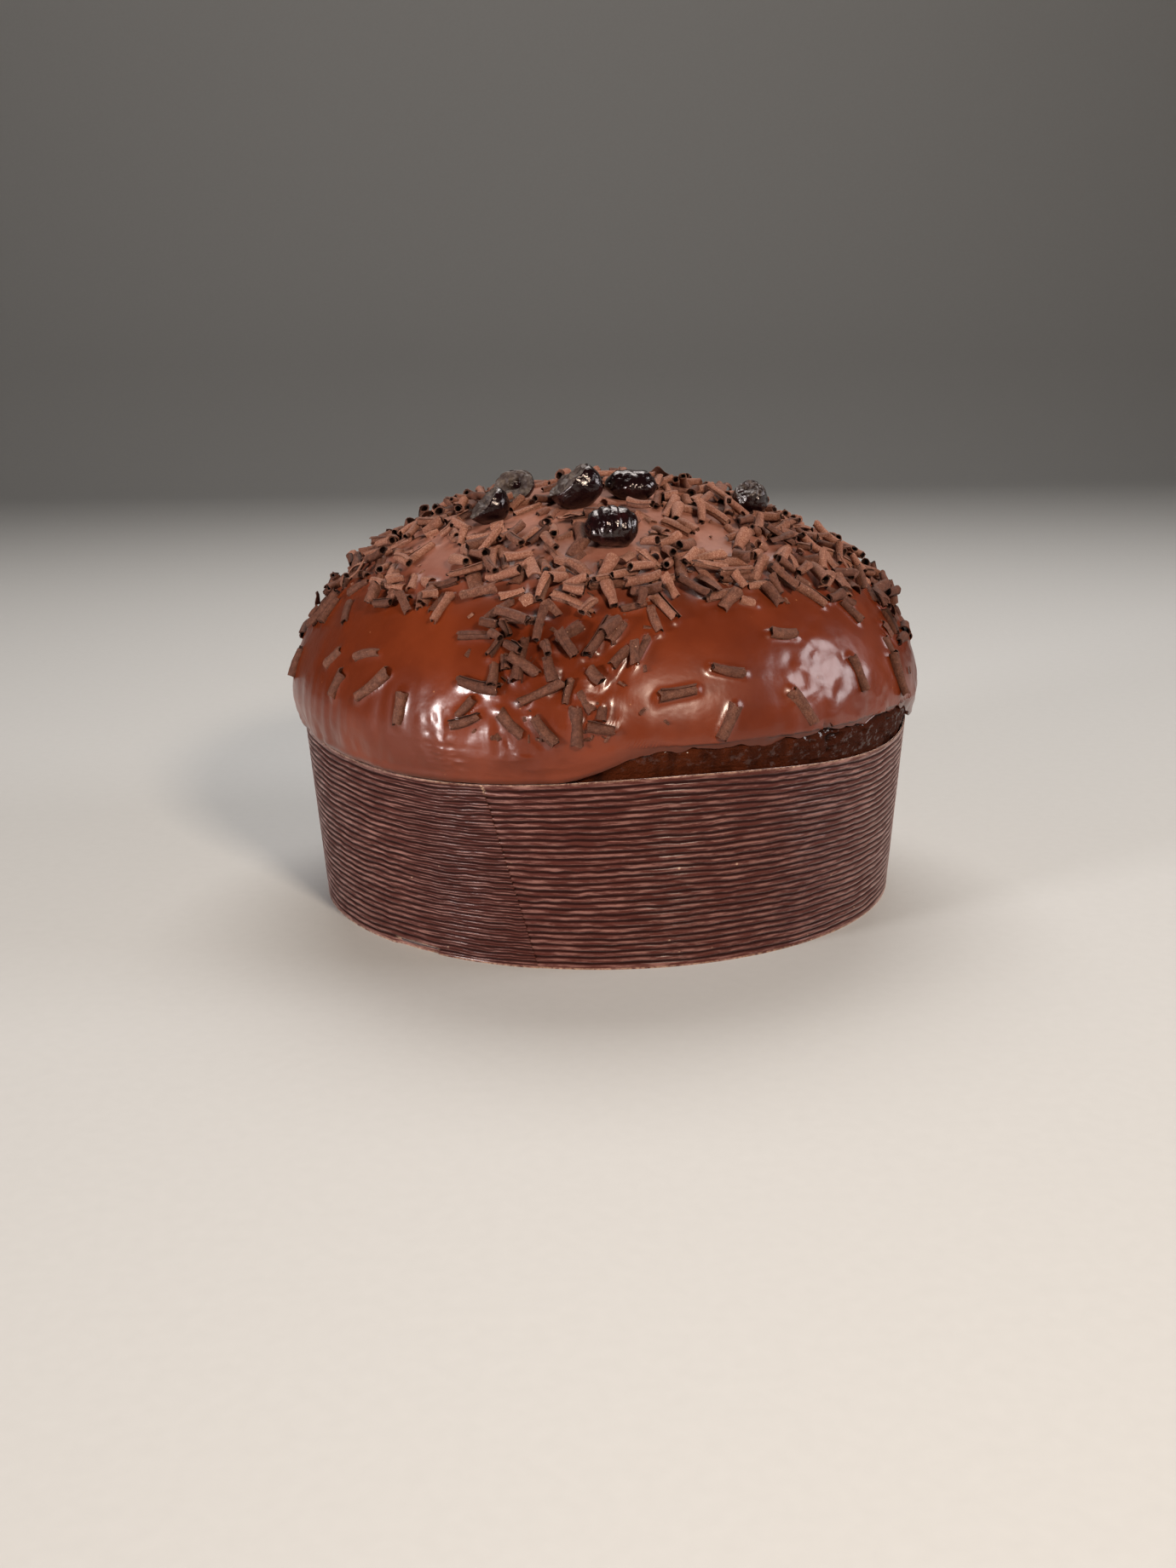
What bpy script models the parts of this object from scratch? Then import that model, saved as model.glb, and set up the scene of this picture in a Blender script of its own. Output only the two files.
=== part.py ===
"""A low panettone in its ribbed paper case, glazed with chocolate and strewn with curls and cherries.

The case holds the baked dough, whose dome stands above the rim and swells out over it. A glaze lies
on the dome like a skin, reaches the rim on most of its way round and stops short of it elsewhere, so
that a band of crust shows. Chocolate curls are fused to the glaze, and the cherries lie on it.

The origin is the centre of the case's underside, +Z is up and the front looks along -Y. A place on
the dome is given by its azimuth, measured from the front towards +X, and by its reach: 0 at the
crown, 1 at the shoulder, where the dome is widest, and 2 at the rim of the case.
"""

import math
from dataclasses import dataclass

import bmesh
import bpy
import numpy as np

MM = 0.001
SEGMENTS = 36
TOUCH_GAP = 0.4 * MM

# Paper case
CASE_HEIGHT = 60.5 * MM
CASE_FOOT_RADIUS = 101.2 * MM
CASE_RIM_RADIUS = 106.0 * MM
CASE_WALL = 1.2 * MM
RIB_COUNT = 30
RIB_DEPTH = 0.6 * MM
RIM_WAVE = 1.7 * MM
RIM_WAVE_LOBES = 4
RIM_WAVE_CREST = math.radians(14)

# Dome
DOME_RADIUS = 109.3 * MM
DOME_SHOULDER = 72.2 * MM
DOME_TOP = 140.5 * MM
DOME_FULLNESS = 1.08
DOME_TOP_FULLNESS = 1.03
DOME_TUCK = 3.3 * MM
DOME_SWELL = 0.8 * MM
REACH_STEP = 0.004

# Glaze
GLAZE_THICKNESS = 2.0 * MM
HEM_LIP = 0.7 * MM
BARE_HEM_HEIGHT = 70.6 * MM

# Dough under the glaze and in the case
CRUST_CRAG = 1.1 * MM
DOUGH_CORNER = 8.0 * MM

# Cherries
CHERRY_SIDES = 12
CHERRY_ROWS = 7
CHERRY_PUCKER = 0.05
CHERRY_LIFT = 0.40
CUT_FLATNESS = 0.9

# Curls
CURL_SIDES = 6
CURL_LONGEST = 15.0 * MM
CURL_SHORTEST = 8.0 * MM
CURL_RADIUS = 1.8 * MM
CURL_SUNK = 1.2 * MM
CURL_CLEARANCE = 0.7 * MM
CURL_SEED = 41
STREWN_CURLS = 116
PLACING_TRIES = 60
LOWEST_STREWN = 0.97
CROWN_TO_SHOULDER = 137 * MM
CROWN_WAIST = 0.2


@dataclass(frozen=True)
class BareHem:
    """A stretch where the glaze stops short of the rim, in degrees of azimuth."""

    start: float
    end: float
    blend: float


@dataclass(frozen=True)
class Drift:
    """Where curls fell thickly: its middle, its spread in millimetres and its share of the curls."""

    azimuth: float
    reach: float
    spread_round: float
    spread_down: float
    share: float


@dataclass(frozen=True)
class BarePatch:
    """A patch of glaze that the curls left bare, with its radius in millimetres."""

    azimuth: float
    reach: float
    radius: float


@dataclass(frozen=True)
class LoneCurl:
    """A curl that lies by itself: its place, its turn from level in degrees and its length in mm."""

    azimuth: float
    reach: float
    turn: float
    length: float


@dataclass(frozen=True)
class Cherry:
    """A cherry: its place, its sizes in millimetres and the azimuth that its long axis points to.

    Of a cut cherry, kept is the share of its thickness that is left, and the cut leans by some
    degrees from lying flat towards an azimuth.
    """

    azimuth: float
    reach: float
    length: float
    width: float
    height: float
    points_to: float
    kept: float = 1.0
    cut_lean: float = 0.0
    cut_faces: float = 0.0


BARE_HEMS = (
    BareHem(start=-9, end=82, blend=20),
    BareHem(start=196, end=248, blend=12),
)

DRIFTS = (
    Drift(azimuth=0, reach=0.12, spread_round=24, spread_down=20, share=70),
    Drift(azimuth=104, reach=0.20, spread_round=10, spread_down=7, share=26),
    Drift(azimuth=64, reach=0.33, spread_round=16, spread_down=8, share=34),
    Drift(azimuth=-84, reach=0.34, spread_round=15, spread_down=8, share=30),
    Drift(azimuth=138, reach=0.36, spread_round=18, spread_down=9, share=30),
    Drift(azimuth=188, reach=0.34, spread_round=18, spread_down=9, share=30),
    Drift(azimuth=236, reach=0.32, spread_round=18, spread_down=9, share=30),
    Drift(azimuth=74, reach=0.49, spread_round=13, spread_down=9, share=34),
    Drift(azimuth=40, reach=0.56, spread_round=14, spread_down=7, share=24),
    Drift(azimuth=68, reach=0.73, spread_round=7, spread_down=8, share=10),
    Drift(azimuth=8, reach=0.52, spread_round=16, spread_down=7, share=24),
    Drift(azimuth=-20, reach=0.50, spread_round=15, spread_down=7, share=26),
    Drift(azimuth=-50, reach=0.57, spread_round=13, spread_down=6, share=20),
    Drift(azimuth=-80, reach=0.60, spread_round=11, spread_down=10, share=24),
    Drift(azimuth=-33, reach=0.41, spread_round=10, spread_down=6, share=16),
    Drift(azimuth=20, reach=0.49, spread_round=9, spread_down=7, share=16),
    Drift(azimuth=-7, reach=0.68, spread_round=12, spread_down=8, share=30),
    Drift(azimuth=-11, reach=0.84, spread_round=10, spread_down=9, share=36),
    Drift(azimuth=112, reach=0.54, spread_round=16, spread_down=10, share=24),
    Drift(azimuth=148, reach=0.58, spread_round=17, spread_down=10, share=24),
    Drift(azimuth=180, reach=0.54, spread_round=17, spread_down=10, share=24),
    Drift(azimuth=210, reach=0.60, spread_round=16, spread_down=11, share=24),
    Drift(azimuth=242, reach=0.56, spread_round=16, spread_down=10, share=24),
    Drift(azimuth=160, reach=0.82, spread_round=26, spread_down=8, share=9),
    Drift(azimuth=228, reach=0.80, spread_round=20, spread_down=8, share=8),
)

BARE_PATCHES = (
    BarePatch(azimuth=31, reach=0.43, radius=9),
    BarePatch(azimuth=22, reach=0.74, radius=15),
    BarePatch(azimuth=-28, reach=0.34, radius=7),
    BarePatch(azimuth=-47, reach=0.50, radius=9),
    BarePatch(azimuth=-56, reach=0.72, radius=9),
    BarePatch(azimuth=-40, reach=0.90, radius=16),
    BarePatch(azimuth=46, reach=0.82, radius=16),
    BarePatch(azimuth=130, reach=0.74, radius=12),
    BarePatch(azimuth=190, reach=0.78, radius=13),
)

LONE_CURLS = (
    LoneCurl(azimuth=-75, reach=0.88, turn=80, length=10),
    LoneCurl(azimuth=-57, reach=0.81, turn=45, length=8),
    LoneCurl(azimuth=-53, reach=0.88, turn=65, length=9),
    LoneCurl(azimuth=-43, reach=0.86, turn=40, length=15),
    LoneCurl(azimuth=-47, reach=0.78, turn=15, length=11),
    LoneCurl(azimuth=-36, reach=0.915, turn=85, length=10),
    LoneCurl(azimuth=-24, reach=0.70, turn=5, length=11),
    LoneCurl(azimuth=-34, reach=0.63, turn=85, length=11),
    LoneCurl(azimuth=-23, reach=0.93, turn=20, length=10),
    LoneCurl(azimuth=11, reach=0.85, turn=8, length=11),
    LoneCurl(azimuth=19, reach=0.94, turn=60, length=11),
    LoneCurl(azimuth=20, reach=0.80, turn=-15, length=10),
    LoneCurl(azimuth=33, reach=0.72, turn=-10, length=9),
    LoneCurl(azimuth=33, reach=0.92, turn=-55, length=13),
    LoneCurl(azimuth=47, reach=0.86, turn=-80, length=11),
    LoneCurl(azimuth=60, reach=0.90, turn=-80, length=14),
    LoneCurl(azimuth=124, reach=0.88, turn=70, length=10),
    LoneCurl(azimuth=150, reach=0.97, turn=35, length=11),
    LoneCurl(azimuth=200, reach=0.92, turn=-75, length=12),
    LoneCurl(azimuth=252, reach=0.90, turn=60, length=10),
)

CHERRIES = (
    Cherry(azimuth=2, reach=0.395, length=17.3, width=14.5, height=13.0, points_to=92),
    Cherry(azimuth=19, reach=0.18, length=17.5, width=12.5, height=10.5, points_to=95),
    Cherry(
        azimuth=-15, reach=0.22, length=18.5, width=15.0, height=16.0, points_to=70,
        kept=0.64, cut_lean=38, cut_faces=-92,
    ),
    Cherry(
        azimuth=-47, reach=0.32, length=15.0, width=13.5, height=12.5, points_to=85,
        kept=0.60, cut_lean=34, cut_faces=-88,
    ),
    Cherry(
        azimuth=66, reach=0.335, length=12.0, width=12.0, height=13.0, points_to=80,
        kept=0.86, cut_lean=42, cut_faces=-60,
    ),
    Cherry(
        azimuth=-60, reach=0.215, length=14.5, width=13.0, height=12.0, points_to=95,
        kept=0.56, cut_lean=50, cut_faces=-12,
    ),
    Cherry(azimuth=150, reach=0.42, length=17.5, width=14.5, height=12.5, points_to=35),
    Cherry(
        azimuth=206, reach=0.44, length=15.5, width=14.0, height=12.0, points_to=120,
        kept=0.60, cut_lean=28, cut_faces=215,
    ),
)


# Shared geometry

def ring_azimuths():
    """Azimuths of the corners of every ring, counterclockwise seen from above."""
    return np.arange(SEGMENTS) * (2 * math.pi / SEGMENTS)


def around(azimuth, radius, height):
    """Points at an azimuth, a radius from the axis and a height."""
    azimuth, radius, height = np.broadcast_arrays(azimuth, radius, height)
    return np.stack([radius * np.sin(azimuth), -radius * np.cos(azimuth), height], axis=-1)


def mesh_from_rings(name, start, rings, end):
    """Closed mesh through the rings, closed by a fan round a point before the first and after the last."""
    vertices = [start, *(point for ring in rings for point in ring), end]
    faces = []
    corners = len(rings[0])
    last_ring = 1 + (len(rings) - 1) * corners
    for j in range(corners):
        k = (j + 1) % corners
        faces.append((0, 1 + j, 1 + k))
        faces.append((last_ring + k, last_ring + j, len(vertices) - 1))
        for row in range(len(rings) - 1):
            here = 1 + row * corners
            below = here + corners
            faces.append((here + j, below + j, below + k, here + k))
    mesh = bpy.data.meshes.new(name)
    mesh.from_pydata([tuple(map(float, vertex)) for vertex in vertices], [], faces)
    mesh.update()
    return mesh


def add_object(name, mesh, material, sharp_angle=50):
    """Object for a finished mesh, with its material, shaded smooth up to an angle in degrees."""
    mesh.materials.append(material)
    mesh.shade_smooth()
    mesh.set_sharp_from_angle(angle=math.radians(sharp_angle))
    piece = bpy.data.objects.new(name, mesh)
    bpy.context.scene.collection.objects.link(piece)
    return piece


def plain_material(name, colour, roughness, coat=0.0):
    """Principled material with a linear colour, its roughness and a clear coat."""
    material = bpy.data.materials.new(name)
    material.use_nodes = True
    shader = material.node_tree.nodes["Principled BSDF"]
    shader.inputs["Base Color"].default_value = (*colour, 1.0)
    shader.inputs["Roughness"].default_value = roughness
    shader.inputs["Metallic"].default_value = 0.0
    shader.inputs["Coat Weight"].default_value = coat
    return material


# Paper case

def rim_height(azimuth):
    """Height of the case's wavy rim."""
    return CASE_HEIGHT + RIM_WAVE * np.cos(RIM_WAVE_LOBES * (azimuth - RIM_WAVE_CREST))


def case_radius(share):
    """Outer radius of the case at a share of its height."""
    return CASE_FOOT_RADIUS + (CASE_RIM_RADIUS - CASE_FOOT_RADIUS) * share


def make_case(material):
    """Cup with a flat floor and a flaring wall that is ribbed outside and plain inside."""
    azimuth = ring_azimuths()
    rim = rim_height(azimuth)
    floor_share = CASE_WALL / CASE_HEIGHT
    rings = [
        around(azimuth, case_radius(floor_share) - CASE_WALL, CASE_WALL),
        around(azimuth, CASE_RIM_RADIUS - CASE_WALL, rim),
    ]
    for step in range(2 * RIB_COUNT, -1, -1):
        share = step / (2 * RIB_COUNT)
        groove = RIB_DEPTH * (step % 2)
        rings.append(around(azimuth, case_radius(share) - groove, rim * share))
    mesh = mesh_from_rings("case", (0, 0, CASE_WALL), rings, (0, 0, 0))
    return add_object("case", mesh, material, sharp_angle=20)


# Dome

def swell(azimuth, reach):
    """How far the dome stands proud of its even form: slow waves that die out at crown and rim."""
    waves = (
        np.sin(2 * azimuth + 0.7) * np.sin(math.pi * reach / 2)
        + 0.7 * np.sin(3 * azimuth - 1.9) * np.sin(math.pi * reach)
        + 0.5 * np.sin(5 * azimuth + 2.6) * np.sin(math.pi * reach / 2) ** 2
    )
    return DOME_SWELL * waves / 2.2


def dome_profile(azimuth, reach):
    """Radius and height of the glaze's even form, before its swell."""
    fall = np.minimum(reach, 1.0) * math.pi / 2
    tuck = np.maximum(reach - 1.0, 0.0)
    tuck_drop = DOME_SHOULDER - rim_height(azimuth) - TOUCH_GAP
    radius = DOME_RADIUS * np.sin(fall) ** DOME_FULLNESS - DOME_TUCK * tuck ** 2
    rise = (DOME_TOP - DOME_SHOULDER) * np.maximum(np.cos(fall), 0.0) ** DOME_TOP_FULLNESS
    height = DOME_SHOULDER + rise - tuck_drop * tuck
    return radius, height


def dome_point(azimuth, reach, depth=0.0):
    """Points and outward normals of the dome, sunk by a depth under the glaze's outer face."""
    azimuth, reach, depth = np.broadcast_arrays(
        np.asarray(azimuth, dtype=float), np.asarray(reach, dtype=float), depth
    )
    radius, height = dome_profile(azimuth, reach)
    radius_before, height_before = dome_profile(azimuth, np.maximum(reach - REACH_STEP, 0.0))
    radius_after, height_after = dome_profile(azimuth, np.minimum(reach + REACH_STEP, 2.0))
    along_radius = radius_after - radius_before
    along_height = height_after - height_before
    length = np.hypot(along_radius, along_height)
    out_radius = -along_height / length
    out_height = along_radius / length
    proud = swell(azimuth, reach) - depth
    points = around(azimuth, radius + out_radius * proud, height + out_height * proud)
    return points, around(azimuth, out_radius, out_height)


def hem_reach(azimuth):
    """Reach of the glaze's lower edge: the rim, or higher up along the bare stretches of crust."""
    degrees = np.degrees(azimuth)
    rise = np.zeros_like(degrees)
    for hem in BARE_HEMS:
        middle = (hem.start + hem.end) / 2
        half = (hem.end - hem.start) / 2
        away = np.abs((degrees - middle + 180) % 360 - 180)
        window = np.clip((half - away) / hem.blend, 0.0, 1.0)
        rise = np.maximum(rise, window * window * (3 - 2 * window))
    seat = rim_height(azimuth) + TOUCH_GAP
    return 2.0 - rise * (BARE_HEM_HEIGHT - seat) / (DOME_SHOULDER - seat)


UPPER_REACHES = [step / 9 for step in range(1, 10)]


def make_glaze_skin(material):
    """Skin over the dome with a rounded hem, before the curls are fused to it."""
    azimuth = ring_azimuths()
    hem = hem_reach(azimuth)
    lower = [1 + (hem - 1) * share for share in (0.45, 0.85)]
    rings = [dome_point(azimuth, reach)[0] for reach in (*UPPER_REACHES, *lower)]
    rings.append(dome_point(azimuth, hem, HEM_LIP)[0])
    rings.append(dome_point(azimuth, hem, GLAZE_THICKNESS)[0])
    for reach in (lower[0], *reversed(UPPER_REACHES)):
        rings.append(dome_point(azimuth, reach, GLAZE_THICKNESS)[0])
    mesh = mesh_from_rings("glaze", (0, 0, DOME_TOP), rings, (0, 0, DOME_TOP - GLAZE_THICKNESS))
    return add_object("glaze", mesh, material)


# Dough

def crag(azimuth, reach):
    """How deep the crust's pits go into the band that the glaze can leave bare."""
    band = np.clip(1 - np.abs(reach - 1.6) / 0.45, 0.0, 1.0)
    pits = 0.5 + 0.5 * np.sin(11 * azimuth + 9 * reach) * np.cos(7 * azimuth - 14 * reach)
    return CRUST_CRAG * band * pits


def make_bread(material):
    """Dough: a dome under the glaze, a craggy crust at the rim and a body that fills the case."""
    azimuth = ring_azimuths()
    rim = rim_height(azimuth)
    under_glaze = GLAZE_THICKNESS + TOUCH_GAP
    rings = [dome_point(azimuth, reach, under_glaze)[0] for reach in UPPER_REACHES]
    for reach in (1.2, 1.4, 1.6, 1.8, 2.0):
        rings.append(dome_point(azimuth, reach, under_glaze + crag(azimuth, reach))[0])
    inset = CASE_WALL + TOUCH_GAP
    floor = CASE_WALL + TOUCH_GAP
    for share in (0.9, 0.5):
        rings.append(around(azimuth, case_radius(share) - inset, rim * share))
    for turn in (0, 30, 60, 90):
        bend = math.radians(turn)
        height = floor + DOUGH_CORNER * (1 - math.sin(bend))
        radius = case_radius(height / CASE_HEIGHT) - inset - DOUGH_CORNER * (1 - math.cos(bend))
        rings.append(around(azimuth, radius, height))
    mesh = mesh_from_rings("bread", (0, 0, DOME_TOP - under_glaze), rings, (0, 0, floor))
    return add_object("bread", mesh, material)


# Cherries

def glaze_height(x, y):
    """Height of the glaze's outer face above a point of the plan, inside the shoulder."""
    azimuth = np.arctan2(x, -y)
    reaches = np.linspace(0.0, 1.0, 181)
    radii, _ = dome_profile(0.0, reaches)
    reach = np.interp(np.hypot(x, y), radii, reaches)
    _, height = dome_profile(azimuth, reach)
    return height + swell(azimuth, reach)


def surface_frame(azimuth_deg, reach):
    """Point of the glaze with its normal and the level and downhill directions in its face."""
    azimuth = math.radians(azimuth_deg)
    point, normal = dome_point(azimuth, reach)
    level = np.array([math.cos(azimuth), math.sin(azimuth), 0.0])
    downhill = np.cross(level, normal)
    return point, normal, level, downhill


def facing(normal, azimuth_deg):
    """Direction in the glaze's face that points to an azimuth."""
    azimuth = math.radians(azimuth_deg)
    direction = np.array([math.sin(azimuth), -math.cos(azimuth), 0.0])
    direction -= normal * (direction @ normal)
    return direction / np.linalg.norm(direction)


def cherry_seat(cherry):
    """Middle of a cherry that is pressed on the glaze, and the glaze's normal there."""
    point, normal, _, _ = surface_frame(cherry.azimuth, cherry.reach)
    return point + normal * cherry.height * MM * CHERRY_LIFT, normal


def make_cherry(number, cherry, material):
    """Puckered ellipsoid, flattened at its cut if it has one, its underside following the dome."""
    seat, normal = cherry_seat(cherry)
    along = facing(normal, cherry.points_to)
    across = np.cross(normal, along)
    half = np.array([cherry.length, cherry.width, cherry.height]) * MM / 2
    polar = np.linspace(0, math.pi, CHERRY_ROWS + 2)[:, None]
    turn = np.arange(CHERRY_SIDES) * (2 * math.pi / CHERRY_SIDES)
    pucker = 1 + CHERRY_PUCKER * np.sin(5 * turn + 3 * polar) * np.sin(polar)
    offset = np.stack([
        half[0] * np.sin(polar) * np.cos(turn) * pucker,
        half[1] * np.sin(polar) * np.sin(turn) * pucker,
        half[2] * np.cos(polar) + 0 * turn,
    ], axis=-1) @ np.array([along, across, normal])
    if cherry.kept < 1.0:
        lean = math.radians(cherry.cut_lean)
        cut = math.cos(lean) * normal + math.sin(lean) * facing(normal, cherry.cut_faces)
        thickness = offset @ cut
        limit = (2 * cherry.kept - 1) * thickness.max()
        offset -= np.maximum(thickness - limit, 0.0)[..., None] * cut * CUT_FLATNESS
    world = seat + offset
    lowest = glaze_height(world[..., 0], world[..., 1]) + TOUCH_GAP / normal[2]
    world[..., 2] = np.maximum(world[..., 2], lowest)
    mesh = mesh_from_rings(f"cherry_{number}", world[0, 0], list(world[1:-1]), world[-1, 0])
    return add_object(f"cherry_{number}", mesh, material, sharp_angle=60)


# Curls

def curl_line(azimuth_deg, reach, turn_deg, length):
    """Middle, direction and normal of a curl that lies on the glaze."""
    point, normal, level, downhill = surface_frame(azimuth_deg, reach)
    turn = math.radians(turn_deg)
    direction = math.cos(turn) * level - math.sin(turn) * downhill
    middle = point + normal * (CURL_RADIUS - CURL_SUNK)
    return middle, direction, normal, length


def stations(line):
    """Five points along a curl, which stand for it when distances are taken."""
    middle, direction, _, length = line
    share = np.linspace(-0.5, 0.5, 5)[:, None]
    return middle + share * (length - CURL_RADIUS) * direction


def is_free(line, taken):
    """True where a curl is clear of the cherries, the bare patches and the curls already taken."""
    own = stations(line)
    for cherry in CHERRIES:
        seat, _ = cherry_seat(cherry)
        reach_out = max(cherry.length, cherry.width) * MM / 2 + CURL_RADIUS + CURL_CLEARANCE
        if np.linalg.norm(own - seat, axis=1).min() < reach_out:
            return False
    for patch in BARE_PATCHES:
        point, _, _, _ = surface_frame(patch.azimuth, patch.reach)
        if np.linalg.norm(line[0] - point) < patch.radius * MM:
            return False
    if not taken:
        return True
    others = np.concatenate(taken)
    distance = np.linalg.norm(own[:, None] - others[None], axis=2).min()
    return distance > 2 * CURL_RADIUS + CURL_CLEARANCE


def strewn_lines():
    """Lines of all curls: the lone ones, then those strewn over the drifts, longest first."""
    rng = np.random.default_rng(CURL_SEED)
    lines = [curl_line(lone.azimuth, lone.reach, lone.turn, lone.length * MM) for lone in LONE_CURLS]
    taken = [stations(line) for line in lines]
    shares = np.array([drift.share for drift in DRIFTS], dtype=float)
    shares /= shares.sum()
    for length in np.linspace(CURL_LONGEST, CURL_SHORTEST, STREWN_CURLS):
        for _ in range(PLACING_TRIES):
            drift = DRIFTS[rng.choice(len(DRIFTS), p=shares)]
            off_round, off_down = rng.normal(size=2)
            turn = rng.uniform(-90, 90)
            reach = abs(drift.reach + off_down * drift.spread_down * MM / CROWN_TO_SHOULDER)
            waist = DOME_RADIUS * max(math.sin(reach * math.pi / 2), CROWN_WAIST)
            azimuth = drift.azimuth + math.degrees(off_round * drift.spread_round * MM / waist)
            if reach > LOWEST_STREWN:
                continue
            line = curl_line(azimuth, reach, turn, length)
            if is_free(line, taken):
                lines.append(line)
                taken.append(stations(line))
                break
    return lines


def add_curl(collection, number, line):
    """Rod for one curl, with its ends cut square, in the collection that is fused to the glaze."""
    middle, direction, normal, length = line
    side = np.cross(direction, normal)
    corner = (np.arange(CURL_SIDES) + 0.5) * (2 * math.pi / CURL_SIDES)
    section = CURL_RADIUS * (np.cos(corner)[:, None] * side + np.sin(corner)[:, None] * normal)
    shape = bmesh.new()
    ends = []
    for share in (-0.5, 0.5):
        centre = middle + share * length * direction
        ends.append([shape.verts.new(centre + offset) for offset in section])
    for j in range(CURL_SIDES):
        k = (j + 1) % CURL_SIDES
        shape.faces.new((ends[0][j], ends[0][k], ends[1][k], ends[1][j]))
    shape.faces.new(ends[0])
    shape.faces.new(ends[1])
    bmesh.ops.recalc_face_normals(shape, faces=shape.faces)
    mesh = bpy.data.meshes.new(f"curl_{number}")
    shape.to_mesh(mesh)
    shape.free()
    collection.objects.link(bpy.data.objects.new(f"curl_{number}", mesh))


def fuse_curls(glaze):
    """Join every curl to the glaze with one union, then remove the separate rods."""
    curls = bpy.data.collections.new("curls")
    bpy.context.scene.collection.children.link(curls)
    for number, line in enumerate(strewn_lines()):
        add_curl(curls, number, line)
    union = glaze.modifiers.new("curls", "BOOLEAN")
    union.operation = "UNION"
    union.operand_type = "COLLECTION"
    union.collection = curls
    union.solver = "EXACT"
    graph = bpy.context.evaluated_depsgraph_get()
    fused = bpy.data.meshes.new_from_object(glaze.evaluated_get(graph))
    glaze.modifiers.remove(union)
    glaze.data = fused
    for rod in list(curls.objects):
        bpy.data.objects.remove(rod)
    bpy.data.collections.remove(curls)


def build():
    """Build the whole cake."""
    for leftover in list(bpy.data.objects):
        bpy.data.objects.remove(leftover)
    paper = plain_material("ribbed_paper", (0.09, 0.040, 0.034), 0.55)
    crust = plain_material("dark_crust", (0.075, 0.026, 0.013), 0.75)
    chocolate = plain_material("chocolate_glaze", (0.19, 0.055, 0.026), 0.30, coat=0.4)
    fruit = plain_material("black_cherry", (0.010, 0.003, 0.003), 0.12, coat=1.0)
    make_case(paper)
    make_bread(crust)
    glaze = make_glaze_skin(chocolate)
    fuse_curls(glaze)
    for number, cherry in enumerate(CHERRIES, start=1):
        make_cherry(number, cherry, fruit)


build()
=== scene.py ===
"""The looks of a low panettone in a ribbed paper case, glazed with chocolate.

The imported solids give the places: the case, the dough, the glaze with its larger curls, and the
cherries. Every one of them gets a finer surface here, worked out on grids from the same sizes, and
the smaller curls, shavings and crumbs are added. A place on the dome is its azimuth, measured from
the front towards +X, and its reach: 0 at the crown, 1 at the shoulder and 2 at the rim of the case.
Sizes are in metres and azimuths in radians, apart from the tables of things on the dome, which give
degrees and millimetres.
"""

import logging
import math
from dataclasses import dataclass
from enum import Enum

import bpy
import numpy as np
from mathutils import Euler, Matrix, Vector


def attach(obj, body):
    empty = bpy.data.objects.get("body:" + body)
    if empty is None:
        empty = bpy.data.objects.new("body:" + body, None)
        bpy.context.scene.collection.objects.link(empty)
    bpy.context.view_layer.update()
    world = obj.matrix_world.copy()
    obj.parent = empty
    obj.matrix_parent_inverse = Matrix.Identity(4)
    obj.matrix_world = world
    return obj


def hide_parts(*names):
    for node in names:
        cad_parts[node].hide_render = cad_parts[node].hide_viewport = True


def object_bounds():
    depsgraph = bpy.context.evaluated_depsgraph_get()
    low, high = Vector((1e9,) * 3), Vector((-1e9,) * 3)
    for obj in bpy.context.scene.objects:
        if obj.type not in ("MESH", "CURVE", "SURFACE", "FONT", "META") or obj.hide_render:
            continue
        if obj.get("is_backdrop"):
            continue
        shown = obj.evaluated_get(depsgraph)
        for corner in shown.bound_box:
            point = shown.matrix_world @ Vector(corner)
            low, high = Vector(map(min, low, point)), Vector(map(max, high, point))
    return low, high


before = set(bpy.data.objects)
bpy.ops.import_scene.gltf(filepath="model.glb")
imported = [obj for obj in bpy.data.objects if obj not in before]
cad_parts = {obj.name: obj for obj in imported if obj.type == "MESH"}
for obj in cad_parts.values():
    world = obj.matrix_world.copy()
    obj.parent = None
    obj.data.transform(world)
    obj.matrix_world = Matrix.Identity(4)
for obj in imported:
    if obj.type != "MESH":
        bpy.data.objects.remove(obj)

LOG = logging.getLogger("panettone")
MM = 0.001
TAU = 2 * math.pi
BODY = "root"
HASH_AXES = np.array([127.1, 311.7, 74.7])
HASH_SEED = 19.19
HASH_SCALE = 43758.5453
NO_TRIANGLES = np.zeros((0, 3), dtype=int)

Array = np.ndarray
Value = Array | float
Mesh = bpy.types.Mesh
Material = bpy.types.Material
Piece = bpy.types.Object


# Noise and small formulas

def smooth_step(low: Value, high: Value, value: Value) -> Value:
    """Ramp from 0 at low to 1 at high with flat ends: 3t^2 - 2t^3. High may be below low."""
    share = np.clip((value - low) / (high - low), 0.0, 1.0)
    return share * share * (3 - 2 * share)


def bell(distance: Value, width: Value) -> Value:
    """Bell curve exp(-(distance / width)^2)."""
    return np.exp(-np.square(distance / width))


def places(*parts: Value) -> Array:
    """Stacks coordinates that broadcast against each other into points."""
    return np.stack(np.broadcast_arrays(*parts), axis=-1)


def round_axis(azimuth: Array, scale: float, other: Value) -> Array:
    """Points on a circle of a radius, so that noise there has no break where the azimuth starts again."""
    return places(scale * np.sin(azimuth), scale * np.cos(azimuth), other)


def signed_degrees(azimuth: Array) -> Array:
    """Azimuths in degrees from -180 to 180."""
    return (np.degrees(azimuth) + 180) % 360 - 180


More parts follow.
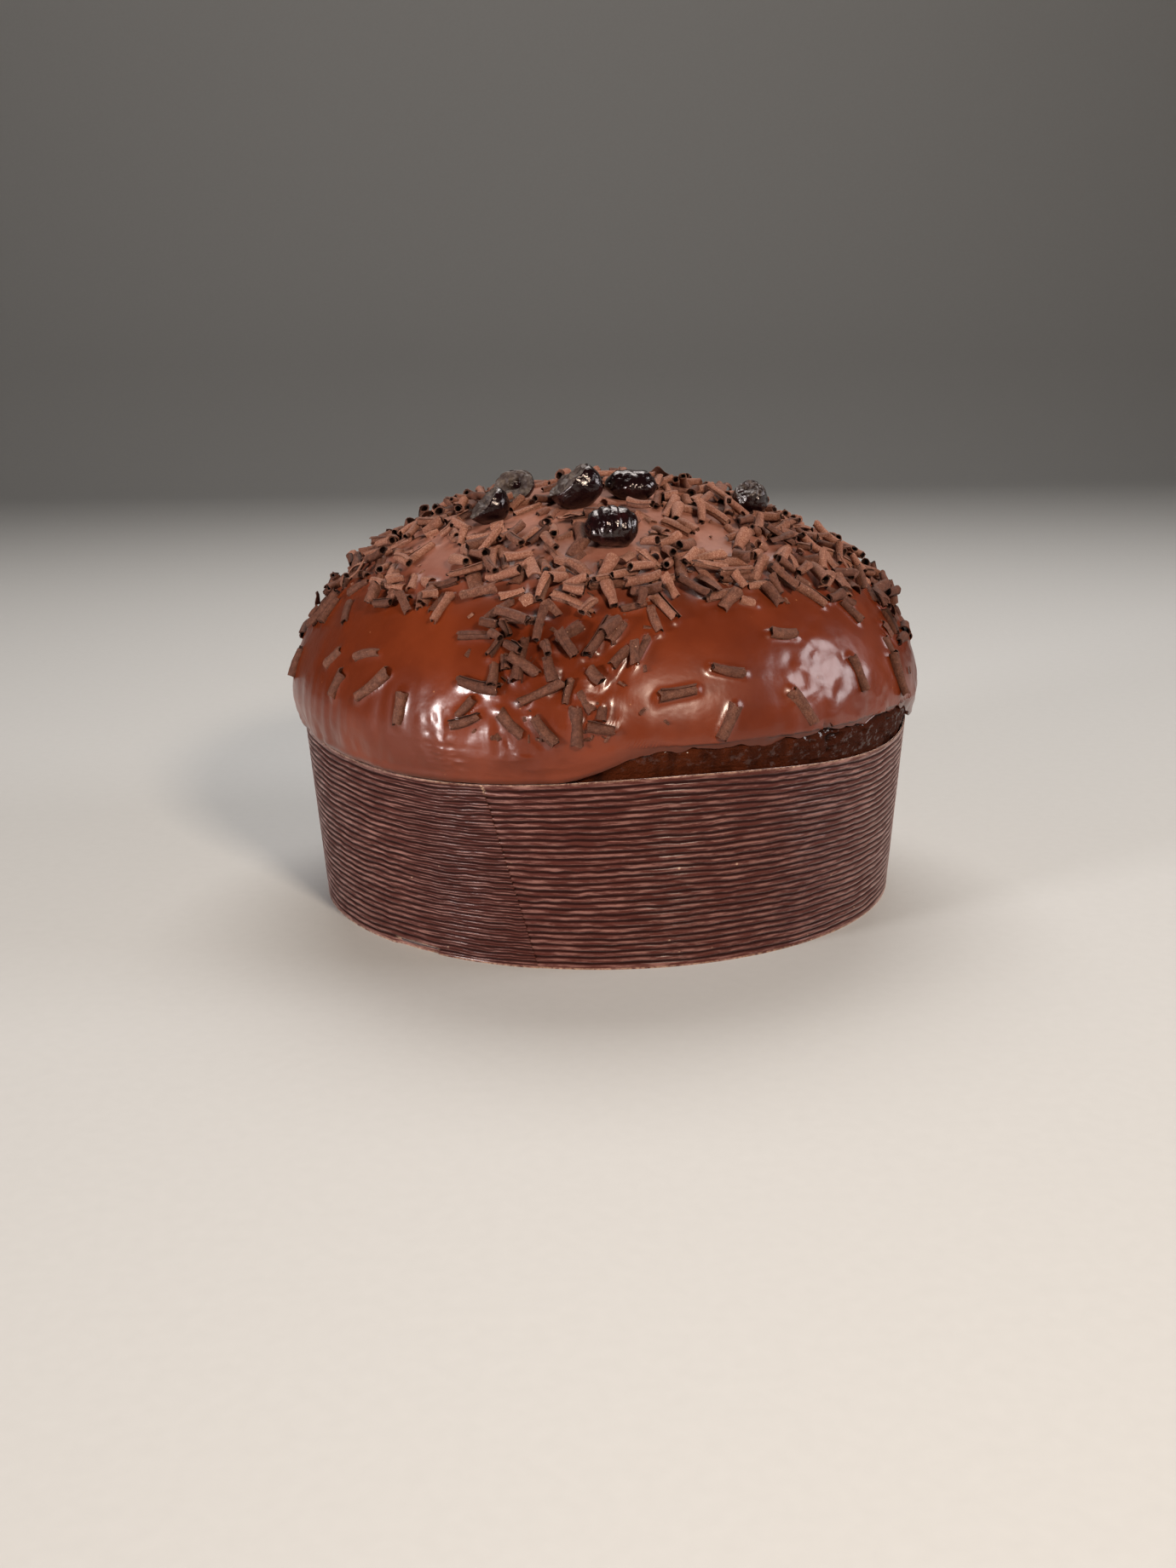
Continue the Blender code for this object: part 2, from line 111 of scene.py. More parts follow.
@dataclass(frozen=True)
class Noise:
    """Smooth value noise in space, the same on each run; the seed picks the pattern."""

    seed: int

    def _corner(self, cell: Array) -> Array:
        """Pseudo-random value from -1 to 1 for each whole cell corner, from a sine hash."""
        value = np.sin(cell @ HASH_AXES + self.seed * HASH_SEED) * HASH_SCALE
        return 2 * (value - np.floor(value)) - 1

    def at(self, points: Array, size: float) -> Array:
        """Noise whose lumps are about a size across.

        The eight corners of a point's cell are blended with the ramp 3t^2 - 2t^3 along each axis.

        Args:
            points: Positions, last axis of three.
            size: Cell size in the same unit.

        Returns:
            Values from -1 to 1.
        """
        scaled = points / size
        base = np.floor(scaled)
        part = scaled - base
        part = part * part * (3 - 2 * part)
        total = np.zeros(points.shape[:-1])
        for corner in range(8):
            step = np.array([corner & 1, corner >> 1 & 1, corner >> 2 & 1], dtype=float)
            weight = np.prod(np.where(step > 0, part, 1 - part), axis=-1)
            total += weight * self._corner(base + step)
        return total

    def layered(self, points: Array, size: float, layers: int, creased: bool = False) -> Array:
        """Sum of noises, each half the size and half the strength of the one before.

        Args:
            points: Positions, last axis of three.
            size: Lump size of the first layer.
            layers: How many layers.
            creased: Whether a layer is 1 - |noise|, so that folds meet in sharp lines.

        Returns:
            Values from -1 to 1, or from 0 to 1 where creased.
        """
        shift = 3.1 if creased else 7.3
        total = np.zeros(points.shape[:-1])
        for layer in range(layers):
            value = self.at(points + layer * shift * size, size / 2 ** layer)
            total += (1 - np.abs(value) if creased else value) / 2 ** layer
        return total / (2 - 2 ** (1 - layers))


# Meshes from arrays

def mesh_from_faces(name: str, points: Array, quads: Array, tris: Array = NO_TRIANGLES) -> Mesh:
    """Mesh of quads and triangles, shaded smooth.

    Args:
        name: Name of the mesh.
        points: Corner positions, N x 3.
        quads: Corner numbers of the quads, M x 4.
        tris: Corner numbers of the triangles, K x 3.

    Returns:
        The mesh.
    """
    mesh = bpy.data.meshes.new(name)
    mesh.vertices.add(len(points))
    mesh.vertices.foreach_set("co", points.astype(np.float32).ravel())
    corners = np.concatenate([quads.ravel(), tris.ravel()]).astype(np.int32)
    starts = np.concatenate([np.arange(len(quads)) * 4, len(quads) * 4 + np.arange(len(tris)) * 3])
    mesh.loops.add(len(corners))
    mesh.loops.foreach_set("vertex_index", corners)
    mesh.polygons.add(len(starts))
    mesh.polygons.foreach_set("loop_start", starts.astype(np.int32))
    mesh.update(calc_edges=True)
    mesh.validate()
    mesh.shade_smooth()
    return mesh


def mesh_from_rings(name: str, start: Array, rings: Array, end: Array) -> Mesh:
    """Closed skin through rings of points, with a fan to a point at either end.

    Args:
        name: Name of the mesh.
        start: Point that closes the first ring.
        rings: Points, rows x columns x 3, each row a closed ring.
        end: Point that closes the last ring.

    Returns:
        The mesh; its corner numbers are start, the rings row by row, and end.
    """
    rows, columns = rings.shape[:2]
    points = np.concatenate([start[None], rings.reshape(-1, 3), end[None]])
    number = 1 + np.arange(rows * columns).reshape(rows, columns)
    beside = np.roll(number, -1, axis=1)
    quads = np.stack([number[:-1], number[1:], beside[1:], beside[:-1]], axis=-1).reshape(-1, 4)
    first = np.stack([np.zeros(columns, dtype=int), number[0], beside[0]], axis=-1)
    last = np.stack([beside[-1], number[-1], np.full(columns, len(points) - 1)], axis=-1)
    return mesh_from_faces(name, points, quads, np.concatenate([first, last]))


def mesh_from_sleeves(name: str, sleeves: Array) -> Mesh:
    """Many thin rolled strips in one mesh, each closed at both ends.

    Args:
        name: Name of the mesh.
        sleeves: Points, strips x stations x loop x 3. A loop runs over a strip's outer face and
            back over its inner one, so the strip's two faces are its first and second half.

    Returns:
        The mesh, its faces turned outwards by the sign of its volume.
    """
    count, stations, loop = sleeves.shape[:3]
    number = np.arange(count * stations * loop).reshape(count, stations, loop)
    beside = np.roll(number, -1, axis=2)
    walls = np.stack([number[:, :-1], beside[:, :-1], beside[:, 1:], number[:, 1:]], axis=-1)
    outer = np.arange(loop // 2 - 1)
    inner = loop - 1 - outer
    near, far = number[:, 0], number[:, -1]
    near_cap = np.stack([near[:, outer], near[:, inner], near[:, inner - 1], near[:, outer + 1]], axis=-1)
    far_cap = np.stack([far[:, outer + 1], far[:, inner - 1], far[:, inner], far[:, outer]], axis=-1)
    quads = np.concatenate([part.reshape(-1, 4) for part in (walls, near_cap, far_cap)])
    points = sleeves.reshape(-1, 3)
    a, b, c, d = (points[quads[:, k]] for k in range(4))
    if np.einsum("ij,ij->", a, np.cross(b, c) + np.cross(c, d)) < 0:
        quads = quads[:, ::-1]
    return mesh_from_faces(name, points, quads)


def store(mesh: Mesh, **numbers: Array) -> None:
    """Stores numbers with a mesh, for a material to read.

    Args:
        mesh: The mesh.
        numbers: One number for each corner point, under the name that the material asks for.
    """
    for name, values in numbers.items():
        layer = mesh.attributes.new(name, "FLOAT", "POINT")
        layer.data.foreach_set("value", values.astype(np.float32).ravel())


def link(name: str, data: bpy.types.ID) -> Piece:
    """Puts a new object into the scene.

    Args:
        name: Its name.
        data: Its mesh, light or camera.

    Returns:
        The object.
    """
    piece = bpy.data.objects.new(name, data)
    bpy.context.scene.collection.objects.link(piece)
    return piece


def add_piece(mesh: Mesh, material: Material, slot: str, *nodes: str) -> None:
    """Finished piece that rides on the cake.

    Args:
        mesh: Its mesh, in its place already.
        material: Its finish.
        slot: The record's slot that the finish comes from; not used.
        nodes: The solids that it stands for.
    """
    mesh.materials.append(material)
    piece = link(mesh.name, mesh)
    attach(piece, BODY)
    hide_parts(*nodes)
    LOG.info("%s: %d points", mesh.name, len(mesh.vertices))


# Shader graphs

class Wire:
    """A number that leaves a shader node, on which Python's operators add Math nodes."""

    def __init__(self, graph: "Graph", socket: bpy.types.NodeSocket) -> None:
        """Wraps a node's output."""
        self.graph = graph
        self.socket = socket

    def _math(self, operation: str, *values: "Wire | float") -> "Wire":
        """Math node on two values."""
        return self.graph.add("ShaderNodeMath", {"operation": operation}, dict(enumerate(values)))

    def __add__(self, other: "Wire | float") -> "Wire":
        """Sum."""
        return self._math("ADD", self, other)

    def __rsub__(self, other: float) -> "Wire":
        """Difference from a plain number."""
        return self._math("SUBTRACT", other, self)

    def __mul__(self, other: "Wire | float") -> "Wire":
        """Product."""
        return self._math("MULTIPLY", self, other)

    __radd__ = __add__
    __rmul__ = __mul__

    def clamped(self) -> "Wire":
        """The value held between 0 and 1."""
        return self.graph.add("ShaderNodeClamp", {}, {0: self})

    def ramp(self, low: float, high: float) -> "Wire":
        """Smooth ramp of the value from 0 at low to 1 at high."""
        sockets = {0: self, 1: low, 2: high, 3: 0.0, 4: 1.0}
        return self.graph.add("ShaderNodeMapRange", {"interpolation_type": "SMOOTHSTEP"}, sockets)


class Graph:
    """The node graph of one material."""

    def __init__(self, name: str) -> None:
        """Starts an empty material.

        Args:
            name: Its name.
        """
        self.material = bpy.data.materials.new(name)
        self.material.use_nodes = True
        self.tree = self.material.node_tree
        self.tree.nodes.clear()
        self.target = self.tree.nodes.new("ShaderNodeOutputMaterial")

    def add(self, kind: str, settings: dict, sockets: dict, output: int | str = 0) -> Wire:
        """Adds any node.

        Args:
            kind: The node's type.
            settings: Its properties, set before its sockets.
            sockets: Values or wires for its inputs, by name or number.
            output: Which output to hand back.

        Returns:
            That output as a wire.
        """
        node = self.tree.nodes.new(kind)
        for key, value in settings.items():
            setattr(node, key, value)
        for key, value in sockets.items():
            if isinstance(value, Wire):
                self.tree.links.new(value.socket, node.inputs[key])
            else:
                node.inputs[key].default_value = value
        return Wire(self, node.outputs[output])

    def place(self) -> Wire:
        """Position on the piece, in metres."""
        return self.add("ShaderNodeTexCoord", {}, {}, "Object")

    def attribute(self, name: str) -> Wire:
        """A number stored with the mesh."""
        return self.add("ShaderNodeAttribute", {"attribute_name": name}, {}, "Fac")

    def noise(self, size: float, detail: float, rough: float, stretch: tuple = (1, 1, 1)) -> Wire:
        """Noise texture.

        Args:
            size: Size of its lumps in metres.
            detail: Its layers.
            rough: How strong the finer layers are.
            stretch: How much denser it is along each axis.

        Returns:
            Its value, from 0 to 1.
        """
        vector = self.place()
        if stretch != (1, 1, 1):
            vector = self.add("ShaderNodeMapping", {}, {"Vector": vector, "Scale": stretch})
        sockets = {"Vector": vector, "Scale": 1 / size, "Detail": detail, "Roughness": rough}
        return self.add("ShaderNodeTexNoise", {}, sockets)

    def runs(self) -> Wire:
        """Noise drawn out downwards, as a thin glaze runs."""
        return 0.55 + 0.9 * self.noise(0.0030, 4.0, 0.6, (1, 1, 0.3))

    def specks(self, size: float) -> Wire:
        """Distance from the nearest of many scattered points, in cells of a size in metres."""
        return self.add("ShaderNodeTexVoronoi", {}, {"Vector": self.place(), "Scale": 1 / size})

    @staticmethod
    def _colour(value: Wire | tuple) -> Wire | tuple:
        """A plain colour with its fourth number, or a wire as it is."""
        return value if isinstance(value, Wire) else (*value, 1.0)

    def tint(self, factor: Wire, first: Wire | tuple, second: Wire | tuple) -> Wire:
        """Colour blended from the first to the second by a factor from 0 to 1."""
        sockets = {0: factor, 6: self._colour(first), 7: self._colour(second)}
        return self.add("ShaderNodeMix", {"data_type": "RGBA"}, sockets, 2)

    def bump(self, height: Wire, distance: float, strength: float) -> Wire:
        """Normal tilted by a height from 0 to 1 over a distance in metres."""
        return self.add("ShaderNodeBump", {}, {"Height": height, "Distance": distance, "Strength": strength})

    def finish(self, colour: Wire, roughness: Wire | float, normal: Wire, fixed: dict) -> Material:
        """Closes the graph with a Principled shader.

        Args:
            colour: Base colour.
            roughness: Roughness.
            normal: Bumped normal.
            fixed: The shader's other sockets.

        Returns:
            The material.
        """
        sockets = {"Base Color": colour, "Roughness": roughness, "Normal": normal, **fixed}
        shader = self.add("ShaderNodeBsdfPrincipled", {}, sockets)
        self.tree.links.new(shader.socket, self.target.inputs["Surface"])
        return self.material


# Finishes

@dataclass(frozen=True)
class RibbedPaper:
    """Dark brown baking paper, with painted shade that makes it nearly black in the grooves between its
    ribs, and painted highlight streaks, with some wear, along the crests.
    """

    crest: tuple = (0.064, 0.0160, 0.0113)
    # Painted shade: the near-black colour of the grooves between the ribs.
    groove: tuple = (0.0130, 0.0016, 0.0006)
    # Painted highlight, with some wear: the light streaks along the crests.
    rub_and_highlight: tuple = (0.315, 0.150, 0.122)
    fibre: tuple = (0.50, 0.33, 0.23)
    roughness: float = 0.46

    def material(self) -> Material:
        """Colour by the stored height of the ribs: painted shade in the grooves, painted highlight streaks
        with some wear along the crests, and pale fibres.

        Returns:
            The material.
        """
        g = Graph("ribbed_paper")
        crest = g.attribute("crest")
        streak = g.noise(0.009, 5.0, 0.7, (1, 1, 10))
        patch = g.noise(0.022, 3.0, 0.55)
        grain = g.noise(0.0006, 3.0, 0.7)
        # Painted shade: the grooves are coloured nearly black, the crests lighter.
        body = g.tint(crest.ramp(0.40, 0.95), self.groove, self.crest)
        # Painted highlight, with some wear: light streaks only on the crests.
        rub_and_highlight_mask = streak.ramp(0.45, 0.62) * crest.ramp(0.60, 0.96) * (0.20 + 1.4 * patch)
        rub_and_highlight = g.tint(rub_and_highlight_mask.clamped() * 0.56, body, self.rub_and_highlight)
        dots = (1.0 - g.specks(0.010).ramp(0.025, 0.06)) * crest.ramp(0.5, 0.9) * 0.6
        pale = (g.attribute("torn") * g.noise(0.0016, 4.0, 0.7).ramp(0.38, 0.62) + dots).clamped()
        colour = g.tint(pale, rub_and_highlight, self.fibre)
        rough = self.roughness + 0.16 * grain + 0.35 * (1.0 - crest)
        shine = crest.ramp(0.52, 0.92) * streak.ramp(0.40, 0.60)
        return g.finish(
            colour, rough, g.bump(0.5 * grain + 0.5 * streak, 0.00026, 0.9),
            {"Specular IOR Level": 0.12, "Specular Tint": (1.0, 0.80, 0.80, 1.0),
             "Coat Weight": shine * 0.65, "Coat Roughness": 0.24,
             "Sheen Weight": 0.50, "Sheen Roughness": 0.32, "Sheen Tint": (1.0, 0.82, 0.80, 1.0)},
        )


@dataclass(frozen=True)
class DarkCrust:
    """Baked crust: painted shade makes it nearly black in its pits, with thin runs of glaze on it and glossy
    specks.
    """

    # deep is painted shade: the near-black colour of the pits.
    deep: tuple = (0.0050, 0.0012, 0.0004)
    brown: tuple = (0.032, 0.0056, 0.0010)
    film: tuple = (0.054, 0.0100, 0.0020)

    def material(self) -> Material:
        """Colour by the stored height of the crags, darker in the pits as painted shade, glossy where glaze
        or fat shines.

        Returns:
            The material.
        """
        g = Graph("dark_crust")
        film = g.attribute("film") * g.runs()
        fine = g.noise(0.0011, 4.0, 0.65)
        # Painted shade: the lower the crust lies, the darker it is coloured.
        body = g.tint((g.attribute("crag") * 0.75 + fine * 0.45).ramp(0.32, 0.88), self.deep, self.brown)
        colour = g.tint(film.ramp(0.30, 0.85) * 0.9, body, self.film)
        gloss = g.noise(0.0024, 3.0, 0.7).ramp(0.53, 0.64)
        return g.finish(
            colour, 0.75 - 0.2 * fine, g.bump(fine, 0.0010, 1.0),
            {"Specular IOR Level": 0.05, "Coat Weight": gloss * 0.65, "Coat Roughness": 0.14},
        )


@dataclass(frozen=True)
class ChocolateGlaze:
    """Milk chocolate glaze, reddish brown and glossy, a little cloudy in places."""

    body: tuple = (0.134, 0.0222, 0.0052)
    deep: tuple = (0.095, 0.0146, 0.0033)
    thinned: tuple = (0.060, 0.0105, 0.0024)
    # Painted reflection: the pale pink sheen of the light from above on the crown.
    crown_sheen: tuple = (0.270, 0.112, 0.074)
    speck: tuple = (0.42, 0.17, 0.07)

    def material(self) -> Material:
        """Base colour in slow clouds, painted paler and pinker on the crown as a painted reflection of the
        light from above, with a gloss that is duller on the crown than on the sides.

        Returns:
            The material.
        """
        g = Graph("chocolate_glaze")
        cloud = g.noise(0.035, 4.0, 0.55)
        wrinkle = g.noise(0.0056, 2.0, 0.5)
        fine = g.noise(0.0019, 2.0, 0.5)
        crown = g.attribute("crown")
        body = g.tint(cloud.ramp(0.35, 0.65), self.deep, self.body)
        # Painted reflection: the crown is tinted towards a pale pink sheen.
        with_crown_sheen = g.tint((crown * (0.55 + 0.5 * fine)).clamped(), body, self.crown_sheen)
        # thin holds the real thinning towards a bare hem and painted shade along every hem's lower edge.
        edged = g.tint((g.attribute("thin") * g.runs()).clamped() * 0.95, with_crown_sheen, self.thinned)
        specks = 1.0 - g.specks(0.0075).ramp(0.018, 0.045)
        colour = g.tint(specks * 0.55, edged, self.speck)
        height = (0.86 * wrinkle + 0.14 * fine) * (0.16 + 0.70 * g.attribute("lively"))
        return g.finish(
            colour, 0.26 + 0.08 * cloud + 0.50 * crown, g.bump(height, 0.0009, 0.75),
            {"Specular IOR Level": 0.35, "Specular Tint": (1.0, 0.93, 0.92, 1.0),
             "Coat Weight": 0.27 * (1.0 - crown), "Coat Roughness": 0.15, "Coat IOR": 1.42},
        )


@dataclass(frozen=True)
class ShavedChocolate:
    """Chocolate as it is shaved: dull, with pale pinkish dusty patches outside, and painted shade, near
    black, inside the rolls.
    """

    dark: tuple = (0.050, 0.0150, 0.0080)
    body: tuple = (0.190, 0.071, 0.043)
    dusty: tuple = (0.375, 0.205, 0.145)
    # hollow is painted shade: the near-black colour inside the rolls.
    hollow: tuple = (0.020, 0.0070, 0.0042)
    sugar: tuple = (0.62, 0.36, 0.24)

    def material(self) -> Material:
        """Colour by grain, by fine streaks and by each curl's stored shade, darker low on the dome as
        painted shade, with a few pale specks.

        Returns:
            The material.
        """
        g = Graph("shaved_chocolate")
        grain = g.noise(0.00050, 4.0, 0.7)
        streak = g.noise(0.0018, 4.0, 0.65)
        shade = g.attribute("shade")
        # shade is a random tone for each curl, lowered as painted shade on curls low on the dome; it also
        # sets how much pale dust shows.
        body = g.tint((shade * 0.7 + streak * 0.8).ramp(0.25, 1.0), self.dark, self.body)
        dusty = g.tint((grain.ramp(0.42, 0.66) * (0.08 + 0.72 * shade)).clamped(), body, self.dusty)
        # Painted shade: inner faces and the innermost turn of each roll are coloured near black.
        inner = g.tint(g.attribute("inside"), dusty, self.hollow)
        colour = g.tint((1.0 - g.specks(0.0034).ramp(0.03, 0.08)) * 0.6, inner, self.sugar)
        normal = g.bump(0.45 * grain + 0.55 * streak, 0.00045, 0.9)
        return g.finish(colour, 0.50 + 0.30 * grain, normal, {"Specular IOR Level": 0.16})


@dataclass(frozen=True)
class CandiedCherry:
    """Black cherry in syrup: near-black wine skin under a clear gloss, dull and grey where it is cut."""

    skin: tuple = (0.0060, 0.0016, 0.0018)
    wine: tuple = (0.026, 0.0040, 0.0045)
    flesh: tuple = (0.020, 0.0095, 0.0065)
    dust: tuple = (0.092, 0.070, 0.055)

    def material(self) -> Material:
        """Skin, or fibrous flesh where the mesh stores a cut or a dusting.

        Returns:
            The material.
        """
        g = Graph("black_cherry")
        fibre = g.noise(0.0022, 5.0, 0.65)
        fine = g.noise(0.0007, 3.0, 0.6)
        patch = (g.attribute("dull") * (0.60 + 0.8 * fibre)).ramp(0.35, 0.75)
        skin = g.tint(g.noise(0.005, 3.0, 0.5).ramp(0.5, 0.8) * 0.6, self.skin, self.wine)
        flesh = g.tint((fibre * 0.7 + fine * 0.3).ramp(0.44, 0.66), self.flesh, self.dust)
        blisters = g.noise(0.0015, 2.0, 0.5)
        height = fine * 0.20 + blisters * 0.45 + patch * fibre
        return g.finish(
            g.tint(patch, skin, flesh), 0.09 + 0.05 * fine + 0.45 * patch, g.bump(height, 0.0007, 0.7),
            {"Specular IOR Level": 0.55, "Specular Tint": (1.0, 0.91, 0.90, 1.0)},
        )


@dataclass(frozen=True)
class PaleFloor:
    """Matt pale grey floor with a faint grain."""

    dark: tuple = (0.46, 0.46, 0.45)
    light: tuple = (0.49, 0.49, 0.48)

    def material(self) -> Material:
        """Two greys mixed by fine noise.

        Returns:
            The material.
        """
        g = Graph("pale_floor")
        grain = g.noise(0.004, 2.0, 0.5)
        return g.finish(g.tint(grain, self.dark, self.light), 0.6, g.bump(grain, 0.0001, 0.2), {})


# The dome and the case

@dataclass(frozen=True)
class BareHem:
    """A stretch where the glaze stops short of the rim, in degrees of azimuth."""

    start: float
    end: float
    blend: float


@dataclass(frozen=True)
class Dome:
    """Sizes of the case and the dome, as in the solids, and the surfaces that they give."""

    case_height: float = 60.5 * MM
    foot_radius: float = 101.2 * MM
    rim_radius: float = 106.0 * MM
    case_wall: float = 1.2 * MM
    rim_wave: float = 1.7 * MM
    rim_wave_lobes: int = 4
    rim_wave_crest: float = math.radians(14)
    radius: float = 109.3 * MM
    shoulder: float = 72.2 * MM
    top: float = 140.5 * MM
    fullness: float = 1.08
    top_fullness: float = 1.03
    tuck: float = 3.3 * MM
    swell_height: float = 0.8 * MM
    touch_gap: float = 0.4 * MM
    reach_step: float = 0.004
    bare_hem_height: float = 70.6 * MM
    bare_hems: tuple = (BareHem(start=-9, end=82, blend=20), BareHem(start=196, end=248, blend=12))

    @staticmethod
    def around(azimuth: Value, radius: Value, height: Value) -> Array:
        """Points at an azimuth, a radius from the axis and a height."""
        return places(radius * np.sin(azimuth), -radius * np.cos(azimuth), height)

    def rim_height(self, azimuth: Value) -> Value:
        """Height of the case's wavy rim: its mean and a cosine of some lobes."""
        wave = np.cos(self.rim_wave_lobes * (azimuth - self.rim_wave_crest))
        return self.case_height + self.rim_wave * wave

    def case_radius(self, share: Value) -> Value:
        """Outer radius of the case at a share of its height, straight from foot to rim."""
        return self.foot_radius + (self.rim_radius - self.foot_radius) * share

    def swell(self, azimuth: Value, reach: Value) -> Value:
        """Slow waves by which the dome stands proud of its even form, none at crown and rim.

        Args:
            azimuth: Azimuths.
            reach: Reaches.

        Returns:
            Heights over the even form: three sines of the azimuth, each fading out at both ends.
        """
        fade = np.sin(math.pi * reach / 2)
        waves = np.sin(2 * azimuth + 0.7) * fade
        waves = waves + 0.7 * np.sin(3 * azimuth - 1.9) * np.sin(math.pi * reach)
        waves = waves + 0.5 * np.sin(5 * azimuth + 2.6) * fade ** 2
        return self.swell_height * waves / 2.2

    def profile(self, azimuth: Value, reach: Value) -> tuple[Value, Value]:
        """Radius and height of the even form.

        Up to reach 1 the fall is 90 degrees times the reach: the radius goes as a power of its sine
        and the height as a power of its cosine. From there to the rim the form tucks in by a parabola.

        Args:
            azimuth: Azimuths.
            reach: Reaches from 0 to 2.

        Returns:
            Radii and heights.
        """
        fall = np.minimum(reach, 1.0) * math.pi / 2
        tuck = np.maximum(reach - 1.0, 0.0)
        drop = self.shoulder - self.rim_height(azimuth) - self.touch_gap
        radius = self.radius * np.sin(fall) ** self.fullness - self.tuck * tuck ** 2
        rise = (self.top - self.shoulder) * np.maximum(np.cos(fall), 0.0) ** self.top_fullness
        return radius, self.shoulder + rise - drop * tuck

    def point(self, azimuth: Value, reach: Value, depth: Value = 0.0) -> tuple[Array, Array]:
        """Points and outward normals of the glaze's outer face, or sunk under it by a depth.

        Args:
            azimuth: Azimuths.
            reach: Reaches from 0 to 2.
            depth: Depths under the outer face.

        Returns:
            Points and unit normals; the swell isn't in the normals.
        """
        azimuth, reach, depth = np.broadcast_arrays(np.float64(azimuth), np.float64(reach), depth)
        radius, height = self.profile(azimuth, reach)
        radius_before, height_before = self.profile(azimuth, np.maximum(reach - self.reach_step, 0.0))
        radius_after, height_after = self.profile(azimuth, np.minimum(reach + self.reach_step, 2.0))
        along_radius = radius_after - radius_before
        along_height = height_after - height_before
        length = np.hypot(along_radius, along_height)
        out_radius = -along_height / length
        out_height = along_radius / length
        proud = self.swell(azimuth, reach) - depth
        points = self.around(azimuth, radius + out_radius * proud, height + out_height * proud)
        return points, self.around(azimuth, out_radius, out_height)

    def spot(self, item: "Cherry | BarePatch | Ripple") -> Array:
        """Point of the glaze where something from a table lies."""
        return self.point(math.radians(item.azimuth), item.reach)[0]

    def lay(self, azimuth: float, reach: float, turn: float) -> tuple[Array, Array, Array]:
        """Place of something straight that lies on the glaze.

        Args:
            azimuth: Azimuth of its middle in degrees.
            reach: Reach of its middle.
            turn: Its turn from level in degrees, uphill where positive.

        Returns:
            Point of the glaze, direction of the thing and normal of the glaze.
        """
        azimuth, turn = math.radians(azimuth), math.radians(turn)
        point, normal = self.point(azimuth, reach)
        level = np.array([math.cos(azimuth), math.sin(azimuth), 0.0])
        return point, math.cos(turn) * level - math.sin(turn) * np.cross(level, normal), normal

    def bareness(self, azimuth: Array) -> Array:
        """Where the glaze stops short.

        Args:
            azimuth: Azimuths.

        Returns:
            1 along the bare stretches, 0 where the glaze reaches the rim, smooth between.
        """
        degrees = np.degrees(azimuth)
        bare = np.zeros_like(degrees)
        for hem in self.bare_hems:
            away = np.abs((degrees - (hem.start + hem.end) / 2 + 180) % 360 - 180)
            bare = np.maximum(bare, smooth_step(0.0, hem.blend, (hem.end - hem.start) / 2 - away))
        return bare

    def hem_reach(self, azimuth: Array) -> Array:
        """Reach of the glaze's lower edge."""
        seat = self.rim_height(azimuth) + self.touch_gap
        return 2.0 - self.bareness(azimuth) * (self.bare_hem_height - seat) / (self.shoulder - seat)

    def surface_height(self, x: Array, y: Array) -> Array:
        """Height of the glaze above points of the plan, found by its profile turned inside out.

        Args:
            x: Their x.
            y: Their y, inside the shoulder.

        Returns:
            Heights.
        """
        azimuth = np.arctan2(x, -y)
        reaches = np.linspace(0.0, 1.0, 181)
        radii, _ = self.profile(np.zeros(1), reaches)
        reach = np.interp(np.hypot(x, y), radii, reaches)
        return self.profile(azimuth, reach)[1] + self.swell(azimuth, reach)

    @staticmethod
    def facing(normal: Array, azimuth: float) -> Array:
        """Direction in a face that points to an azimuth.

        Args:
            normal: The face's normal.
            azimuth: The azimuth in degrees.

        Returns:
            A unit vector at right angles to the normal.
        """
        turn = math.radians(azimuth)
        direction = np.array([math.sin(turn), -math.cos(turn), 0.0])
        direction -= normal * (direction @ normal)
        return direction / np.linalg.norm(direction)


